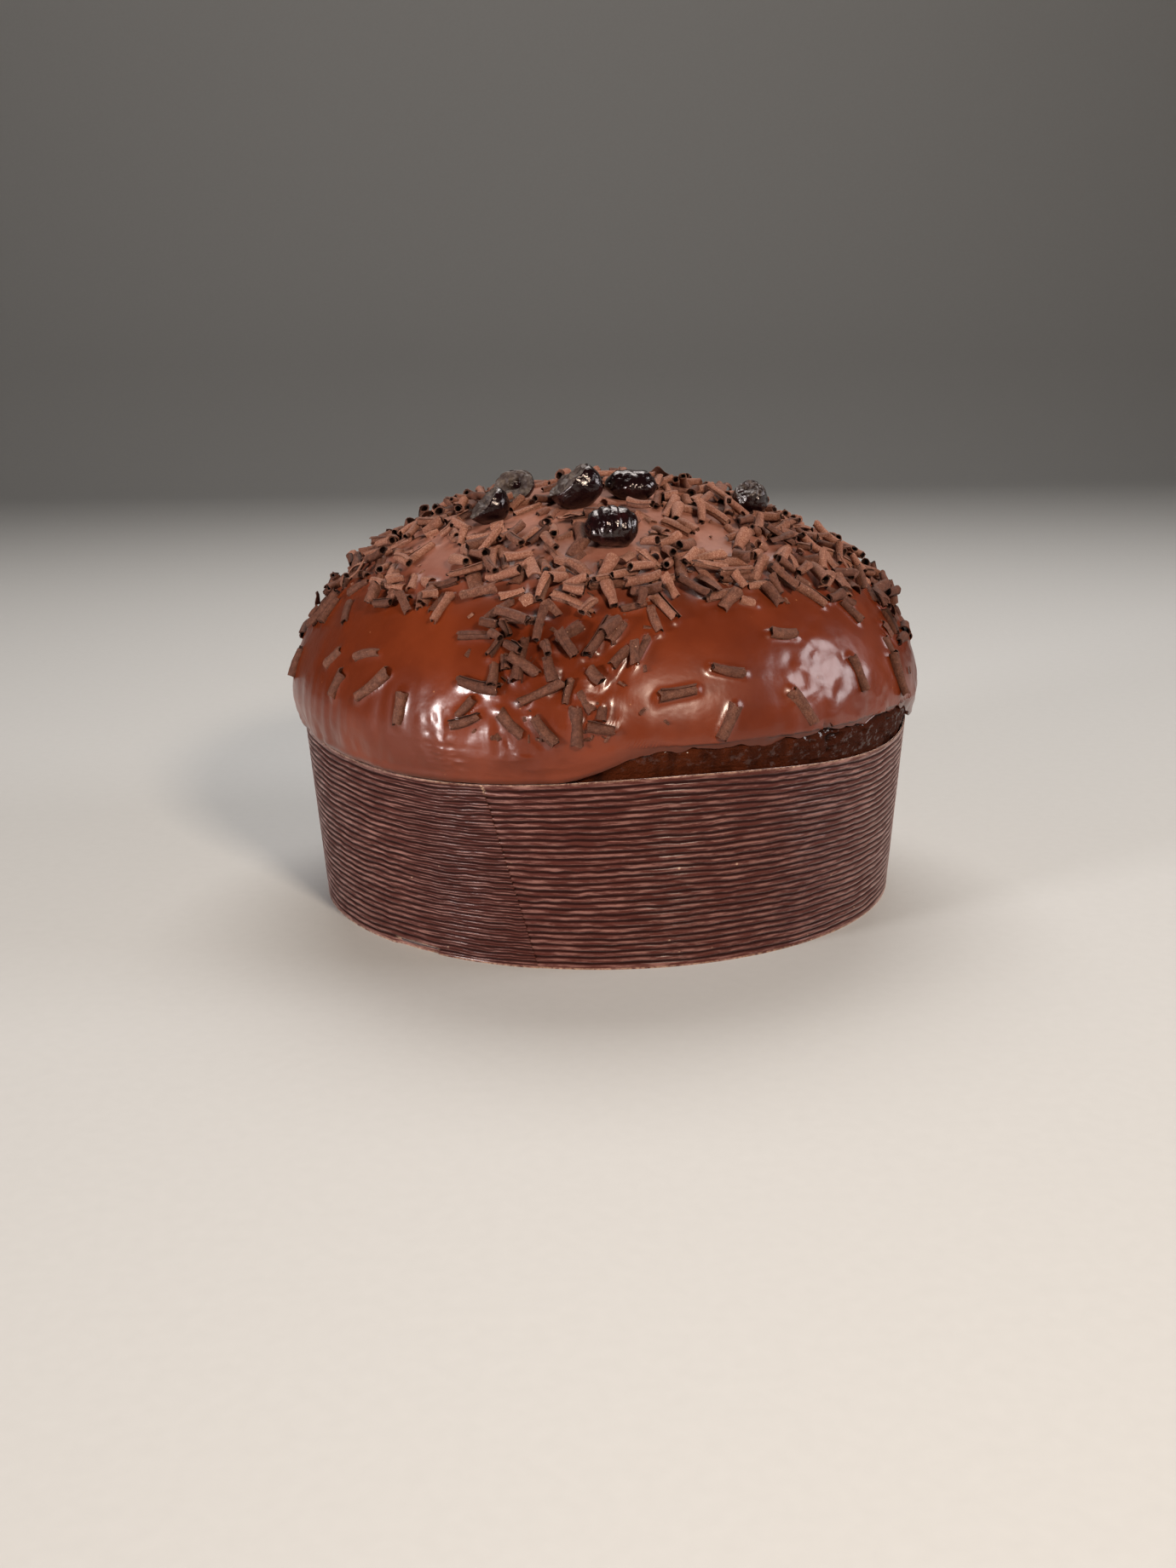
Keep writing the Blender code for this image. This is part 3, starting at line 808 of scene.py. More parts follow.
@dataclass(frozen=True)
class PaperCase:
    """The ribbed paper case, with a slanting overlap seam and a torn foot.

    Attributes:
        dome: The shared sizes.
        ribs: Ribs from foot to rim.
        rib_phases: Where the grid's rows lie in each rib, from 0 in one groove to 1 in the next.
        rib_depth: How deep the groove between two ribs is.
        fine_depth: How deep the second groove is where the paper is ribbed twice as fine.
        ruffle: How far the ribs waver up and down, as a share of one rib.
        seam_rim: Azimuth of the seam at the rim, in degrees.
        seam_foot: Azimuth of the seam at the foot, in degrees.
        lap: How far the outer end of the paper stands over the inner one.
        columns: The grid's columns.
        packing: How closely they are packed at the seam.
        inner_shares: Shares of the height where the inner face has its rows.
        torn_from: Azimuth where the tear starts, in degrees.
        torn_to: Azimuth where it ends.
        torn_height: How high it reaches.
        torn_depth: How much of the paper's outer ply it takes.
    """

    dome: Dome
    ribs: int = 30
    rib_phases: tuple = (0.0, 0.14, 0.34, 0.5, 0.66, 0.86)
    rib_depth: float = 0.70 * MM
    fine_depth: float = 0.50 * MM
    ruffle: float = 0.26
    seam_rim: float = -21.4
    seam_foot: float = -13.0
    lap: float = 0.4 * MM
    columns: int = 520
    packing: float = 0.9
    inner_shares: tuple = (0.03, 0.5, 0.9, 0.985)
    torn_from: float = -43.0
    torn_to: float = -33.0
    torn_height: float = 2.0 * MM
    torn_depth: float = 0.9 * MM

    def _ends(self, rib: Array, blend: float) -> Array:
        """1 on the wall, fading to 0 within some ribs of foot and rim."""
        return smooth_step(0.0, blend, rib) * smooth_step(self.ribs, self.ribs - blend, rib)

    def _waver(self, azimuth: Array, rib: Array) -> Array:
        """How far the ribs stray from level: noise along them that changes slowly upwards.

        Args:
            azimuth: Azimuths.
            rib: Ribs counted up from the foot.

        Returns:
            Shifts in ribs.
        """
        slow = Noise(3).layered(places(azimuth * 8, rib * 0.14, 0.0), 1.0, 2)
        quick = Noise(5).at(places(azimuth * 30, rib * 0.8, 0.0), 1.0)
        return (self.ruffle * slow + 0.09 * quick) * self._ends(rib, 1.6)

    def _relief(self, azimuth: Array, rib: Array, way: Array) -> tuple[Array, Array]:
        """Grooves between the ribs.

        A bell-shaped groove lies at each whole rib and a finer one between two of them, deep just
        before the seam and faint elsewhere. Noise lets both come and go along a rib.

        Args:
            azimuth: Azimuths.
            rib: Ribs counted up from the foot.
            way: Shares of the way round from the seam.

        Returns:
            Depths below the crest line, and how near the crest a place is, from 0 to 1.
        """
        finer = smooth_step(0.935, 0.955, way)
        comes = 0.78 + 0.22 * Noise(7).at(places(azimuth * 14, np.round(rib) * 3.7, 0.0), 1.0)
        goes = 0.5 + 0.5 * Noise(9).at(places(azimuth * 13, np.floor(rib) * 5.3, 0.0), 1.0)
        groove = bell((rib + 0.5) % 1.0 - 0.5, 0.22 - 0.04 * finer) * comes
        fine = bell(rib % 1.0 - 0.5, 0.09) * (0.25 * goes + 0.65 * finer)
        ends = self._ends(rib, 0.4)
        depth = (self.rib_depth * groove + self.fine_depth * fine) * ends
        crest = 1.0 - np.clip(groove + 0.8 * fine, 0.0, 1.0) * ends
        return depth + self.lap * (1 - smooth_step(0.88, 0.985, way)), crest

    def _torn(self, azimuth: Array, height: Array) -> tuple[Array, Array]:
        """The tear at the foot: a stretch of azimuth under a ragged line.

        Args:
            azimuth: Azimuths.
            height: Heights over the floor.

        Returns:
            Depths of the missing ply, and how pale its torn edge is, from 0 to 1.
        """
        degrees = signed_degrees(azimuth)
        torn = smooth_step(self.torn_from - 1, self.torn_from + 1, degrees)
        torn = torn * smooth_step(self.torn_to + 0.4, self.torn_to - 0.4, degrees)
        ragged = Noise(11).layered(places(degrees, 0.0, 0.0), 1.2, 3)
        top = self.torn_height * (1 + 0.25 * ragged) + 0.2 * MM
        under = smooth_step(top, self.torn_height * 0.9, height)
        return self.torn_depth * torn * under, torn * bell(height - self.torn_height, 0.5 * MM)

    def build(self, finish: RibbedPaper) -> None:
        """Wall ribbed outside and plain inside, on a flat floor.

        The columns start at the seam and are packed closer near it: t - packing sin(2 pi t) / (2 pi).

        Args:
            finish: The paper.
        """
        dome = self.dome
        even = (np.arange(self.columns) + 0.5) / self.columns
        way = (even - self.packing * np.sin(TAU * even) / TAU)[None]
        rib = (np.arange(self.ribs)[:, None] + np.array(self.rib_phases)).ravel()
        rib = np.append(rib, self.ribs)[::-1][:, None]
        level = rib / self.ribs
        azimuth = np.radians(self.seam_rim + (self.seam_foot - self.seam_rim) * (1 - level)) + way * TAU
        share = (rib + self._waver(azimuth, rib)) / self.ribs
        depth, crest = self._relief(azimuth, rib + 0 * azimuth, way)
        height = share * dome.rim_height(azimuth)
        missing, pale = self._torn(azimuth, height)
        outside = dome.around(azimuth, dome.case_radius(share) - depth - missing, height)
        rim_wear = smooth_step(0.990, 1.0, level) * 0.6
        foot_wear = smooth_step(0.011, 0.0, level) * 0.8
        seam_wear = bell(np.minimum(way, 1 - way), 0.0006) * smooth_step(0.93, 0.98, level)
        for wear in (rim_wear, foot_wear, seam_wear):
            pale = np.maximum(pale, wear)
        inner_share = np.array(self.inner_shares)[:, None]
        top = dome.rim_height(azimuth[:1])
        inner_top = dome.rim_height(azimuth[:1] + 0 * inner_share)
        inner_radius = dome.case_radius(inner_share) - dome.case_wall
        inner = dome.around(azimuth[:1], inner_radius, inner_share * inner_top)
        inner[0, :, 2] = dome.case_wall
        lip = dome.around(azimuth[:1], dome.case_radius(1.0) - dome.case_wall * 0.8, top - 0.02 * MM)
        rings = np.concatenate([inner, lip, outside])
        mesh = mesh_from_rings("ribbed_case", np.array([0.0, 0.0, dome.case_wall]), rings, np.zeros(3))
        inside = 1 + (len(inner) + 1) * self.columns
        # crest is how near a rib's crest a point lies; the paper paints shade in the grooves and highlight
        # streaks on the crests by it.
        store(
            mesh, crest=np.concatenate([np.full(inside, 0.5), crest.ravel(), [0.5]]),
            torn=np.concatenate([np.zeros(inside), pale.ravel(), [0.0]]),
        )
        add_piece(mesh, finish.material(), "ribbed_paper", "case")


@dataclass(frozen=True)
class Dough:
    """The baked dough: hidden under the glaze and in the case, craggy where its crust shows.

    Attributes:
        dome: The shared sizes.
        glaze_thickness: How far the glaze's outer face stands over its inner one.
        crag: Depth of the deepest pits in the crust.
        corner: Rounding of the dough's bottom edge.
        columns: The grid's columns.
        crown_rows: Its rows on the crown, under the glaze.
        band_rows: Its rows between shoulder and rim, where the crust shows.
        wall_shares: Shares of the case's height where the rows in the case lie.
        corner_turns: Degrees by which the bottom edge has turned at each of its rows.
    """

    dome: Dome
    glaze_thickness: float = 2.0 * MM
    crag: float = 1.9 * MM
    corner: float = 8.0 * MM
    columns: int = 420
    crown_rows: int = 14
    band_rows: int = 44
    wall_shares: tuple = (0.9, 0.5)
    corner_turns: tuple = (0, 30, 60, 90)

    def _crust(self, azimuth: Array, reach: Array, seat: Array) -> tuple[Array, Array]:
        """Relief of the crust where it shows.

        Creases, pits and crumbs are noise of three sizes. Near the front they drown in thin runs of
        glaze, which are noise drawn out downwards.

        Args:
            azimuth: Azimuths.
            reach: Reaches.
            seat: Points of the even surface.

        Returns:
            How proud the crust is, and how much glaze runs over it, from 0 up.
        """
        rough = Noise(21).layered(seat, 6.5 * MM, 3, creased=True) - 0.5
        pits = smooth_step(0.10, 0.70, Noise(23).layered(seat, 3.6 * MM, 3))
        crumbs = Noise(25).layered(seat, 1.3 * MM, 2)
        runs = Noise(27).layered(round_axis(azimuth, 34, 0.9 * reach), 1.0, 2)
        coated = 0.25 + 0.75 * smooth_step(48, 16, np.abs(signed_degrees(azimuth)))
        bare = (1.5 * MM * rough - self.crag * pits + 0.5 * MM * crumbs) * (1.25 - 0.9 * coated)
        shown = smooth_step(1.08, 1.3, reach) * self.dome.bareness(azimuth)
        return shown * (bare + 0.7 * MM * runs * coated + 0.9 * MM), coated * (0.62 + 0.9 * runs)

    def build(self, finish: DarkCrust) -> None:
        """Rings from the crown down over the crust's band to the floor of the case.

        Args:
            finish: The crust.
        """
        dome = self.dome
        azimuth = (np.arange(self.columns) * TAU / self.columns)[None]
        under = self.glaze_thickness + dome.touch_gap
        crown, _ = dome.point(azimuth, np.linspace(0.05, 0.95, self.crown_rows)[:, None], under)
        reach = np.linspace(1.0, 2.0, self.band_rows)[:, None]
        proud, runs = self._crust(azimuth, reach, dome.point(azimuth, reach, under)[0])
        band, _ = dome.point(azimuth, reach, under - proud)
        inset = dome.case_wall + dome.touch_gap
        rings = [*crown, *band]
        for share in self.wall_shares:
            wall = dome.around(azimuth, dome.case_radius(share) - inset, dome.rim_height(azimuth) * share)
            rings.append(wall[0])
        for turn in self.corner_turns:
            bend = math.radians(turn)
            height = inset + self.corner * (1 - math.sin(bend))
            radius = dome.case_radius(height / dome.case_height) - inset - self.corner * (1 - math.cos(bend))
            rings.append(dome.around(azimuth, radius, height)[0])
        top, bottom = np.array([0, 0, dome.top - under]), np.array([0, 0, inset])
        mesh = mesh_from_rings("baked_dough", top, np.array(rings), bottom)
        crag, film = np.full(len(mesh.vertices), 0.5), np.zeros(len(mesh.vertices))
        first = 1 + len(crown) * self.columns
        # crag is how proud the crust is; the crust's material paints its low values dark as shade in the
        # pits.
        crag[first:first + proud.size] = (0.45 + proud / (2.6 * MM)).ravel()
        film[first:first + proud.size] = runs.ravel()
        store(mesh, crag=np.clip(crag, 0, 1), film=np.clip(film, 0, 1))
        add_piece(mesh, finish.material(), "dark_crust", "bread")


# Cherries

@dataclass(frozen=True)
class Cherry:
    """A cherry: its place, its sizes in millimetres and the azimuth that its long axis points to.

    Of a cut cherry, kept is the share of its thickness that is left, and the cut leans by some
    degrees from lying flat towards an azimuth; it is dull by some share. Dust is how much of its upper
    side is dull, and the skin has some folds of a depth in millimetres.
    """

    azimuth: float
    reach: float
    length: float
    width: float
    height: float
    points_to: float
    kept: float = 1.0
    cut_lean: float = 0.0
    cut_faces: float = 0.0
    cut_dull: float = 1.0
    dust: float = 0.0
    folds: float = 5.0
    fold_depth: float = 0.42


@dataclass(frozen=True)
class Cherries:
    """The candied cherries on the crown, whole and halved.

    Attributes:
        dome: The shared sizes.
        lift: Height of a cherry's middle over the glaze, as a share of its thickness.
        flatness: How much of the part beyond a cut is taken away.
        pit: Radius of the hollow that the stone left in a cut face.
        pit_depth: Depth of that hollow.
        pit_aside: How far it lies from the middle of the cut.
        tear: Height of the fibres on a cut face.
        sides: The grid's columns round a cherry.
        rows: Its rows from pole to pole.
        fruit: The cherries.
    """

    dome: Dome
    lift: float = 0.40
    flatness: float = 0.9
    pit: float = 2.6 * MM
    pit_depth: float = 1.9 * MM
    pit_aside: float = 1.4 * MM
    tear: float = 1.7 * MM
    sides: int = 112
    rows: int = 62
    fruit: tuple = (
        Cherry(2, 0.395, 17.3, 14.5, 13.0, 92, folds=7.5, fold_depth=0.75),
        Cherry(19, 0.18, 17.5, 12.5, 10.5, 95, dust=0.35, folds=6.0, fold_depth=0.50),
        Cherry(-15, 0.22, 18.5, 15.0, 16.0, 70, kept=0.64, cut_lean=38, cut_faces=-92,
               folds=1.6, fold_depth=0.20),
        Cherry(-47, 0.32, 15.0, 13.5, 12.5, 85, kept=0.60, cut_lean=34, cut_faces=-88,
               folds=1.2, fold_depth=0.15),
        Cherry(66, 0.335, 12.0, 12.0, 13.0, 80, kept=0.86, cut_lean=42, cut_faces=-60,
               cut_dull=0.35, dust=0.50, folds=4.0, fold_depth=0.45),
        Cherry(-60, 0.215, 14.5, 13.0, 12.0, 95, kept=0.56, cut_lean=50, cut_faces=-12,
               folds=2.5, fold_depth=0.30),
        Cherry(150, 0.42, 17.5, 14.5, 12.5, 35, folds=5.5, fold_depth=0.55),
        Cherry(206, 0.44, 15.5, 14.0, 12.0, 120, kept=0.60, cut_lean=28, cut_faces=215,
               folds=2.0, fold_depth=0.22),
    )

    def seat(self, cherry: Cherry) -> tuple[Array, Array]:
        """Middle of a cherry that is pressed on the glaze, and the glaze's normal there."""
        point, normal = self.dome.point(math.radians(cherry.azimuth), cherry.reach)
        return point + normal * cherry.height * MM * self.lift, normal

    def _wrinkles(self, cherry: Cherry, number: int, local: Array) -> Array:
        """Relief of the skin.

        Folds run round the long axis: |sin| of the place along it, bent by noise, deepest on top, with
        a few finer creases between them.

        Args:
            cherry: The cherry.
            number: Its number, which picks the noise.
            local: Points of a unit ball in the cherry's own frame.

        Returns:
            Heights, mostly below zero.
        """
        bend = Noise(40 + number).layered(local * 1.6, 1.0, 2)
        fold = np.abs(np.sin(local[..., 0] * cherry.folds + 1.5 * bend + number))
        crease = Noise(60 + number).layered(local * 2.6, 1.0, 2, creased=True)
        dents = Noise(80 + number).at(local * 1.6, 1.0)
        upper = 0.35 + 0.65 * smooth_step(-0.6, 0.5, local[..., 2])
        return MM * (cherry.fold_depth * upper * (fold ** 0.6 - 1) - 0.15 * crease ** 4 + 0.6 * dents)

    def _cut(self, cherry: Cherry, number: int, normal: Array, offset: Array) -> tuple[Array, Array]:
        """Takes off what lies beyond the cut and roughens its face.

        Args:
            cherry: The cherry.
            number: Its number, which picks the noise.
            normal: The glaze's normal under it.
            offset: Points from the cherry's middle.

        Returns:
            The points after the cut, and how dull they are, from 0 to 1; the pit's hollow is kept less dull,
            so it takes the dark skin colour as painted shade.
        """
        lean = math.radians(cherry.cut_lean)
        cut = math.cos(lean) * normal + math.sin(lean) * Dome.facing(normal, cherry.cut_faces)
        thickness = offset @ cut
        over = np.maximum(thickness - (2 * cherry.kept - 1) * thickness.max(), 0.0)
        torn = Noise(100 + number).layered(offset, 3.6 * MM, 3) * smooth_step(0.0, 0.6 * MM, over)
        aside = self.pit_aside * Dome.facing(normal, cherry.points_to + 40)
        from_pit = np.linalg.norm(offset - aside - thickness[..., None] * cut, axis=-1)
        hollow = bell(from_pit, self.pit) * smooth_step(0.0, 1.0 * MM, over)
        lost = over * self.flatness - self.tear * torn + self.pit_depth * hollow
        # Painted shade: the pit's hollow keeps the near-black skin colour and gloss instead of the dull
        # flesh.
        dull = cherry.cut_dull * smooth_step(0.10 * MM, 0.6 * MM, over) * (1 - 0.85 * hollow)
        return offset - lost[..., None] * cut, dull

    def _build_one(self, cherry: Cherry, number: int, material: Material) -> None:
        """Wrinkled ellipsoid, cut if it was halved, its underside following the dome.

        Args:
            cherry: The cherry.
            number: Its number.
            material: The finish that all cherries share.
        """
        seat, normal = self.seat(cherry)
        along = Dome.facing(normal, cherry.points_to)
        axes = np.array([along, np.cross(normal, along), normal])
        half = np.array([cherry.length, cherry.width, cherry.height]) * MM / 2
        polar = np.linspace(0, math.pi, self.rows + 2)[:, None]
        turn = (np.arange(self.sides) * TAU / self.sides)[None]
        local = places(np.sin(polar) * np.cos(turn), np.sin(polar) * np.sin(turn), np.cos(polar))
        relief = self._wrinkles(cherry, number, local)
        offset = (local * (half + relief[..., None])) @ axes
        turned = local @ axes
        crust = Noise(120 + number).layered(local, 0.45, 3)
        leftward = turned @ Dome.facing(normal, -80)
        dusty = cherry.dust * smooth_step(-0.1, 0.5, turned @ normal + 0.5 * leftward)
        offset += (0.45 * MM * dusty * crust)[..., None] * turned
        dull = dusty * (1.0 + 0.5 * crust)
        if cherry.kept < 1.0:
            offset, cut_dull = self._cut(cherry, number, normal, offset)
            dull = np.maximum(dull, cut_dull)
        world = seat + offset
        lowest = self.dome.surface_height(world[..., 0], world[..., 1]) - 0.15 * MM
        world[..., 2] = np.maximum(world[..., 2], lowest)
        mesh = mesh_from_rings(f"candied_cherry_{number}", world[0, 0], world[1:-1], world[-1, 0])
        dull = np.concatenate([dull[0, :1], dull[1:-1].ravel(), dull[-1, :1]])
        store(mesh, dull=np.clip(dull, 0, 1))
        add_piece(mesh, material, "black_cherry", f"cherry_{number}")

    def build(self, finish: CandiedCherry) -> None:
        """All cherries, one piece each.

        Args:
            finish: The fruit's skin and flesh.
        """
        material = finish.material()
        for number, cherry in enumerate(self.fruit, start=1):
            self._build_one(cherry, number, material)


# Curls

class Shape(Enum):
    """How far a strip of shaved chocolate is rolled up."""

    ROLL = "rolled_curls"
    SHAVING = "open_shavings"
    FLAKE = "thin_flakes"
    CRUMB = "curl_crumbs"


@dataclass(frozen=True)
class Drift:
    """Where curls fell thickly: its middle, its spread in millimetres and its share of the curls."""

    azimuth: float
    reach: float
    spread_round: float
    spread_down: float
    share: float


@dataclass(frozen=True)
class BarePatch:
    """A patch of glaze that the curls left bare, with its radius in millimetres."""

    azimuth: float
    reach: float
    radius: float


@dataclass(frozen=True)
class LoneCurl:
    """A curl that lies by itself: its place, its turn from level in degrees and its length in mm."""

    azimuth: float
    reach: float
    turn: float
    length: float
    shape: Shape = Shape.ROLL


DRIFTS = (
    Drift(0, 0.12, 24, 20, 70),
    Drift(104, 0.20, 10, 7, 26),
    Drift(64, 0.33, 16, 8, 34),
    Drift(-84, 0.34, 15, 8, 30),
    Drift(138, 0.36, 18, 9, 30),
    Drift(188, 0.34, 18, 9, 30),
    Drift(236, 0.32, 18, 9, 30),
    Drift(74, 0.49, 13, 9, 34),
    Drift(40, 0.56, 14, 7, 24),
    Drift(68, 0.73, 7, 8, 10),
    Drift(8, 0.52, 16, 7, 24),
    Drift(-20, 0.50, 15, 7, 26),
    Drift(-50, 0.57, 13, 6, 20),
    Drift(-80, 0.60, 11, 10, 24),
    Drift(-33, 0.41, 10, 6, 16),
    Drift(20, 0.49, 9, 7, 16),
    Drift(-7, 0.68, 12, 8, 30),
    Drift(-11, 0.84, 10, 9, 36),
    Drift(112, 0.54, 16, 10, 24),
    Drift(148, 0.58, 17, 10, 24),
    Drift(180, 0.54, 17, 10, 24),
    Drift(210, 0.60, 16, 11, 24),
    Drift(242, 0.56, 16, 10, 24),
    Drift(160, 0.82, 26, 8, 9),
    Drift(228, 0.80, 20, 8, 8),
)

FINE_DRIFTS = DRIFTS + (
    Drift(62, 0.44, 13, 10, 60),
    Drift(60, 0.56, 10, 9, 46),
    Drift(38, 0.52, 13, 6, 30),
    Drift(84, 0.62, 9, 12, 30),
    Drift(16, 0.30, 14, 10, 24),
    Drift(-18, 0.36, 13, 8, 14),
    Drift(-60, 0.40, 12, 8, 14),
    Drift(-74, 0.50, 10, 8, 34),
    Drift(-4, 0.54, 14, 5, 18),
    Drift(-4, 0.96, 7, 4, 36),
    Drift(-17, 0.95, 5, 6, 14),
    Drift(-36, 0.58, 11, 4, 16),
)

BARE_PATCHES = (
    BarePatch(31, 0.43, 9),
    BarePatch(22, 0.74, 15),
    BarePatch(-28, 0.34, 7),
    BarePatch(-47, 0.50, 9),
    BarePatch(-56, 0.72, 9),
    BarePatch(-40, 0.90, 16),
    BarePatch(46, 0.82, 16),
    BarePatch(130, 0.74, 12),
    BarePatch(190, 0.78, 13),
)

LONE_CURLS = (
    LoneCurl(-75, 0.88, 80, 10),
    LoneCurl(-57, 0.81, 45, 8, Shape.SHAVING),
    LoneCurl(-53, 0.88, 65, 9, Shape.SHAVING),
    LoneCurl(-43, 0.86, 40, 15, Shape.SHAVING),
    LoneCurl(-47, 0.78, 15, 11, Shape.SHAVING),
    LoneCurl(-36, 0.915, 85, 10, Shape.SHAVING),
    LoneCurl(-24, 0.70, 5, 11),
    LoneCurl(-34, 0.63, 85, 11),
    LoneCurl(-23, 0.93, 20, 10),
    LoneCurl(11, 0.85, 8, 11),
    LoneCurl(19, 0.94, 60, 11, Shape.SHAVING),
    LoneCurl(20, 0.80, -15, 10),
    LoneCurl(33, 0.72, -10, 9),
    LoneCurl(33, 0.92, -55, 13, Shape.SHAVING),
    LoneCurl(47, 0.86, -80, 11),
    LoneCurl(60, 0.90, -80, 14),
    LoneCurl(124, 0.88, 70, 10),
    LoneCurl(150, 0.97, 35, 11, Shape.FLAKE),
    LoneCurl(200, 0.92, -75, 12),
    LoneCurl(252, 0.90, 60, 10, Shape.SHAVING),
)


@dataclass
class Curl:
    """One strip of shaved chocolate where it came to rest."""

    middle: Array
    direction: Array
    normal: Array
    length: float
    radius: float
    shape: Shape = Shape.ROLL
    on_glaze: bool = True

    def stations(self, count: int, extent: float) -> Array:
        """Points spread evenly over an extent of its axis, which stand for it."""
        return self.middle + np.linspace(-0.5, 0.5, count)[:, None] * extent * self.direction


@dataclass(frozen=True)
class Obstacles:
    """What the curls keep clear of: the cherries' middles and half widths, and the bare patches."""

    seats: Array
    half_widths: Array
    patches: Array
    patch_radii: Array

    @classmethod
    def on(cls, dome: Dome, cherries: Cherries) -> "Obstacles":
        """Collects the cherries and the bare patches.

        Args:
            dome: What they lie on.
            cherries: The cherries.

        Returns:
            The obstacles.
        """
        return cls(
            np.array([cherries.seat(cherry)[0] for cherry in cherries.fruit]),
            np.array([max(cherry.length, cherry.width) * MM / 2 for cherry in cherries.fruit]),
            np.array([dome.spot(patch) for patch in BARE_PATCHES]),
            np.array([patch.radius * MM for patch in BARE_PATCHES]),
        )

    def near_cherry(self, points: Array, room: float) -> bool:
        """True where points come nearer to a cherry than its half width and some room."""
        apart = np.linalg.norm(points[:, None] - self.seats[None], axis=2).min(axis=0)
        return bool((apart < self.half_widths + room).any())

    def in_patch(self, point: Array) -> bool:
        """True where a point lies in a bare patch."""
        return bool((np.linalg.norm(self.patches - point, axis=1) < self.patch_radii).any())


@dataclass(frozen=True)
class CurlFall:
    """Drops the curls on the glaze: first the larger ones, where the solids have them, then the rest.

    Radii and lengths that are drawn at random are given in millimetres, as least and most.

    Attributes:
        dome: The shared sizes.
        cherries: What the curls keep clear of.
        longest: Length of the first strewn large curl.
        shortest: Length of the last one.
        rod_radius: Radius of a large curl's rod in the solids, by which they were spaced.
        rod_sunk: How deep that rod is sunk in the glaze.
        clearance: Room that was kept between two rods.
        seed: Picks the large curls' draws.
        strewn: How many large curls are strewn.
        tries: How many places are tried for each of them.
        lowest_strewn: Reach below which no strewn curl lies.
        crown_to_shoulder: Length of the glaze's profile.
        crown_waist: Least share of the dome's radius by which a drift's spread is turned to degrees.
        large_kinds: Shares of rolls, shavings and flakes among the large curls.
        large_radii: Radii of the large curls.
        small_kinds: Shares of the same among the small curls.
        small_curls: How many small curls are tried.
        small_tries: How many places are tried for each of them.
        small_longest: Length of the first small curl.
        small_shortest: Length of the last one.
        small_radii: Radii of the small curls.
        small_spread: How much wider than given the drifts are for them.
        small_overlap: How far they may reach into a cherry's half width.
        crumbs: How many crumbs are tried.
        crumb_lengths: Lengths of the crumbs.
        crumb_radii: Radii of the crumbs.
        crumb_spread: How much wider than given the drifts are for them.
        small_seed: Picks the draws of small curls and crumbs.
        marks: How many points stand for a curl that lies there.
        feelers: At how many points a falling curl feels for what is under it.
        span: Share of a small curl's length over which the points that stand for it lie.
        touch: Share of two curls' radii at which they touch.
        resting: Height of its axis, in radii, below which a curl counts as lying on the glaze.
        nestle: How high the axis of a curl on the glaze lies, in radii.
        stack_limit: How high the small curls may pile over the glaze on the crown.
        shoulder_limit: How high they may pile at the shoulder.
        steepest: Largest slope at which a small curl leans on others.
        layer: Height over which a curl that already lies there is out of the way.
    """

    dome: Dome
    cherries: Cherries
    longest: float = 15.0 * MM
    shortest: float = 8.0 * MM
    rod_radius: float = 1.8 * MM
    rod_sunk: float = 1.2 * MM
    clearance: float = 0.7 * MM
    seed: int = 41
    strewn: int = 116
    tries: int = 60
    lowest_strewn: float = 0.97
    crown_to_shoulder: float = 137 * MM
    crown_waist: float = 0.2
    large_radii: tuple = (1.3, 1.8)
    large_kinds: tuple = (0.78, 0.18, 0.04)
    small_kinds: tuple = (0.64, 0.25, 0.11)
    small_curls: int = 560
    small_tries: int = 20
    small_longest: float = 11.5 * MM
    small_shortest: float = 4.0 * MM
    small_radii: tuple = (1.15, 1.8)
    small_spread: float = 1.1
    small_overlap: float = 0.6 * MM
    crumbs: int = 260
    crumb_lengths: tuple = (0.9, 2.6)
    crumb_radii: tuple = (0.3, 0.7)
    crumb_spread: float = 1.35
    small_seed: int = 97
    marks: int = 5
    feelers: int = 7
    span: float = 0.92
    touch: float = 0.90
    resting: float = 1.2
    nestle: float = 0.62
    stack_limit: float = 5.4 * MM
    shoulder_limit: float = 2.7 * MM
    steepest: float = 0.53
    layer: float = 9 * MM

    def _draw_kind(self, rng: np.random.Generator, shares: tuple) -> Shape:
        """Random roll, shaving or flake."""
        return (Shape.ROLL, Shape.SHAVING, Shape.FLAKE)[rng.choice(3, p=shares)]

    def _draw_place(self, rng: np.random.Generator, drifts: tuple, spread: float) -> tuple:
        """Random place within a drift that is picked by its share.

        Args:
            rng: Source of the draws.
            drifts: The drifts.
            spread: How much wider than given they are.

        Returns:
            Azimuth in degrees, reach, and turn from level in degrees.
        """
        shares = np.array([drift.share for drift in drifts], dtype=float)
        drift = drifts[rng.choice(len(drifts), p=shares / shares.sum())]
        off_round, off_down = rng.normal(size=2) * spread
        turn = rng.uniform(-90, 90)
        reach = abs(drift.reach + off_down * drift.spread_down * MM / self.crown_to_shoulder)
        waist = self.dome.radius * max(math.sin(reach * math.pi / 2), self.crown_waist)
        azimuth = drift.azimuth + math.degrees(off_round * drift.spread_round * MM / waist)
        return azimuth, reach, turn

    def _rod(self, azimuth: float, reach: float, turn: float, length: float) -> Curl:
        """A large curl as the rod that stands for it in the solids.

        Args:
            azimuth: Azimuth of its middle in degrees.
            reach: Reach of its middle.
            turn: Its turn from level in degrees.
            length: Its length.

        Returns:
            The curl, its axis on the rod's.
        """
        point, direction, normal = self.dome.lay(azimuth, reach, turn)
        middle = point + normal * (self.rod_radius - self.rod_sunk)
        return Curl(middle, direction, normal, length, self.rod_radius)

